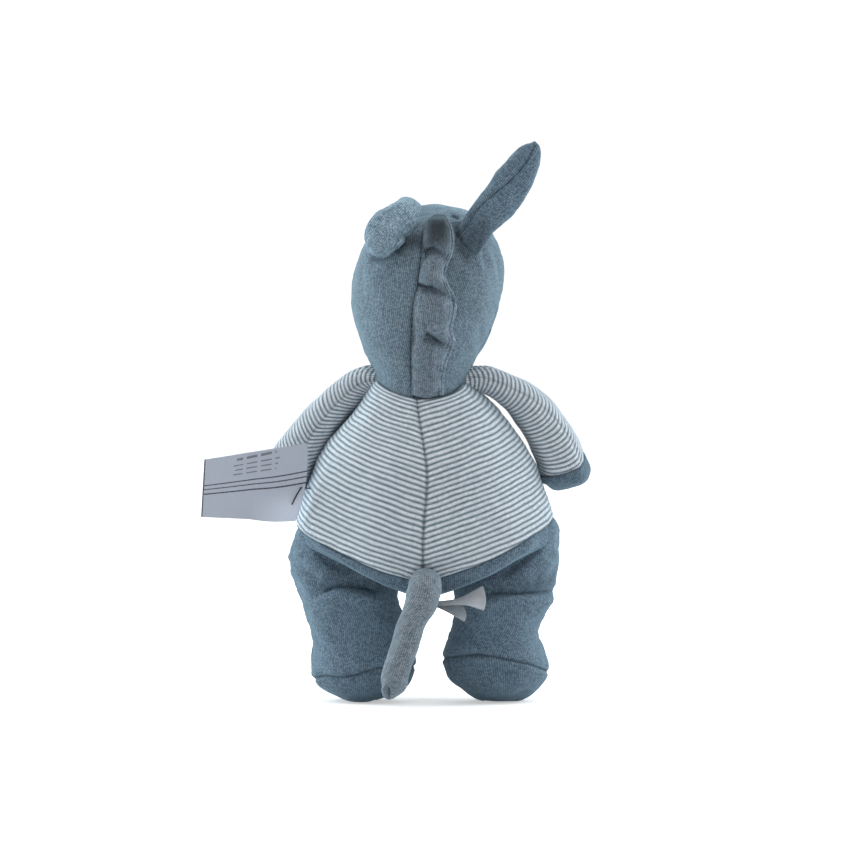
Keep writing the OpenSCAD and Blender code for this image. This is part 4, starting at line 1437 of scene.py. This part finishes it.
for side, word in SIDES:
    arm = filling(f"arm_{word}_filling", arm_form(side), 0.28, 0.93, 3.0, 28, 28)
    leg = filling(f"leg_{word}_filling", stacked(leg_form_rows(side)), 6, 45, 7.0, dv=STACK_STEP)
    fillings[f"arm_{word}_stuffing"] = (arm, f"arm_{word}")
    fillings[f"leg_{word}_stuffing"] = (leg, f"leg_{word}")


# ---- Which CAD nodes each piece replaces, and the body it rides on ----

def take(obj, nodes, body=None, between=None):
    """Hides a piece's CAD nodes, and puts the piece on its body; a piece listed as bending between two bodies
    only keeps its place in the scene.
    """
    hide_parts(*nodes)
    if between:
        a, b, start, end = between
        tuple(np.array(start) * MM)
        tuple(np.array(end) * MM)
        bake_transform(obj)
    else:
        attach(obj, body)


take(torso_back_left, ["torso_back_left"], "torso")
take(torso_back_right, ["torso_back_right"], "torso")
take(torso_front, ["torso_front"], "torso")
take(seat_left, ["seat_left"], "torso")
take(seat_right, ["seat_right"], "torso")

NECK_BEND = ("torso", "head", (NECK_SHIFT, 0, 186), (NECK_SHIFT, 0, 216))
take(head_back_left, ["head_back_left"], between=NECK_BEND)
take(head_back_right, ["head_back_right"], between=NECK_BEND)
take(face_panel, ["face_panel"], between=NECK_BEND)
take(head_crown, ["head_crown"], "head")
take(mane, ["mane"], between=NECK_BEND)
take(muzzle, ["muzzle"], "head")
take(nostrils, ["nostrils"], "head")
take(mouth, ["mouth_stitch"], "head")
take(eye_left, ["eye_left"], "head")
take(eye_right, ["eye_right"], "head")

for rows, word, outer, inner in (
    (ear_left_rows, "left", ear_left_outer, ear_left_inner),
    (ear_right_rows, "right", ear_right_outer, ear_right_inner),
):
    start, end = curve(rows, np.array([0.02, 0.18]))[:, 1:4]
    ear_bend = ("head", f"ear_{word}", start, end)
    take(outer, [f"ear_{word}_back"], between=ear_bend)
    take(inner, [f"ear_{word}_front"], between=ear_bend)

for side, word in SIDES:
    sleeve, hand = arms[word]
    shoulder = ("torso", f"arm_{word}", (side * 30, 0, 192), (side * 56, 0, 181))
    take(sleeve, [f"arm_{word}_sleeve"], between=shoulder)
    take(hand, [f"arm_{word}_hand"], f"arm_{word}")
    hip = ("torso", f"leg_{word}", (side * 46, 0, 92), (side * 46, 0, 52))
    take(legs[word, "back"], [f"leg_{word}_back"], between=hip)
    take(legs[word, "front"], [f"leg_{word}_front"], between=hip)
    take(legs[word, "sole"], [f"leg_{word}_sole"], f"leg_{word}")

TAIL_BEND = ("torso", "tail", (-1, TAIL_Y + 12, 80), (-1, TAIL_Y + 1, 70))
take(tail, ["tail_cover"], between=TAIL_BEND)
take(leaf, ["care_label_leaf"], "torso")
take(ribbon, ["care_label_ribbon"], "torso")
take(tag, ["hang_tag"], "tag")
take(pin, ["tag_pin"], "torso")
for node, (obj, body) in fillings.items():
    take(obj, [node], body)


# ---- Floor and light ----

def stage_floor():
    mesh = bpy.data.meshes.new("floor")
    r = 6.0
    mesh.from_pydata([(-r, -r, 0), (r, -r, 0), (r, r, 0), (-r, r, 0)], [], [(0, 1, 2, 3)])
    obj = bpy.data.objects.new("floor", mesh)
    scene.collection.objects.link(obj)
    m = Look("floor_white")
    at = m.node("TexCoord").outputs["Object"]
    away = m.node("VectorMath", operation="LENGTH")
    m.tree.links.new(at, away.inputs[0])
    white = m.mix(m.noise(Wire(m, at), 3.0, 3.0), (0.80, 0.805, 0.81), (0.83, 0.835, 0.84))
    m.put(m.shader.inputs["Base Color"], white)
    m.shader.inputs["Emission Color"].default_value = (1, 1, 1, 1)
    seen = Wire(m, m.node("LightPath").outputs["Is Camera Ray"])
    glow = m.step(Wire(m, away.outputs["Value"]), 0.15, 0.75, 0.45, 1.0)
    m.put(m.shader.inputs["Emission Strength"], glow * m.step(seen, 0.0, 1.0, 0.22, 1.0))
    mesh.materials.append(m.material)


stage_floor()

world = bpy.data.worlds.new("world")
scene.world = world
world.use_nodes = True
sky = world.node_tree
sky.nodes.clear()
out = sky.nodes.new("ShaderNodeOutputWorld")
both = sky.nodes.new("ShaderNodeMixShader")
# the first lights the toy, and the camera sees the second behind it
for k, (colour, strength) in enumerate((((1.0, 0.99, 0.975, 1), 0.38), ((1, 1, 1, 1), 1.05))):
    glow = sky.nodes.new("ShaderNodeBackground")
    glow.inputs["Color"].default_value = colour
    glow.inputs["Strength"].default_value = strength
    sky.links.new(glow.outputs[0], both.inputs[k + 1])
path = sky.nodes.new("ShaderNodeLightPath")
sky.links.new(path.outputs["Is Camera Ray"], both.inputs[0])
sky.links.new(both.outputs[0], out.inputs[0])


def softbox(name, place, aim, size, power, colour=(1, 1, 1)):
    data = bpy.data.lights.new(name, "AREA")
    data.shape = "RECTANGLE"
    data.size, data.size_y = size
    data.energy = power
    data.color = colour
    obj = bpy.data.objects.new(name, data)
    scene.collection.objects.link(obj)
    obj.location = place
    direction = np.array(aim, float) - np.array(place, float)
    flat = math.hypot(direction[0], direction[1])
    obj.rotation_euler = (math.atan2(flat, -direction[2]), 0, math.atan2(-direction[0], direction[1]))


softbox("light_right", (1.0, 0.28, 0.5), (0, 0, 0.17), (0.8, 1.1), 11.4, (0.88, 0.97, 1.0))
softbox("light_left", (-1.0, 0.25, 0.5), (0, 0, 0.17), (0.8, 1.1), 13.2, (0.86, 0.97, 1.0))
softbox("light_top", (0.0, -0.4, 1.4), (0, 0, 0.2), (1.0, 0.8), 7.5)
softbox("light_back", (0.1, 1.3, 0.7), (0, 0, 0.18), (1.2, 0.8), 7)
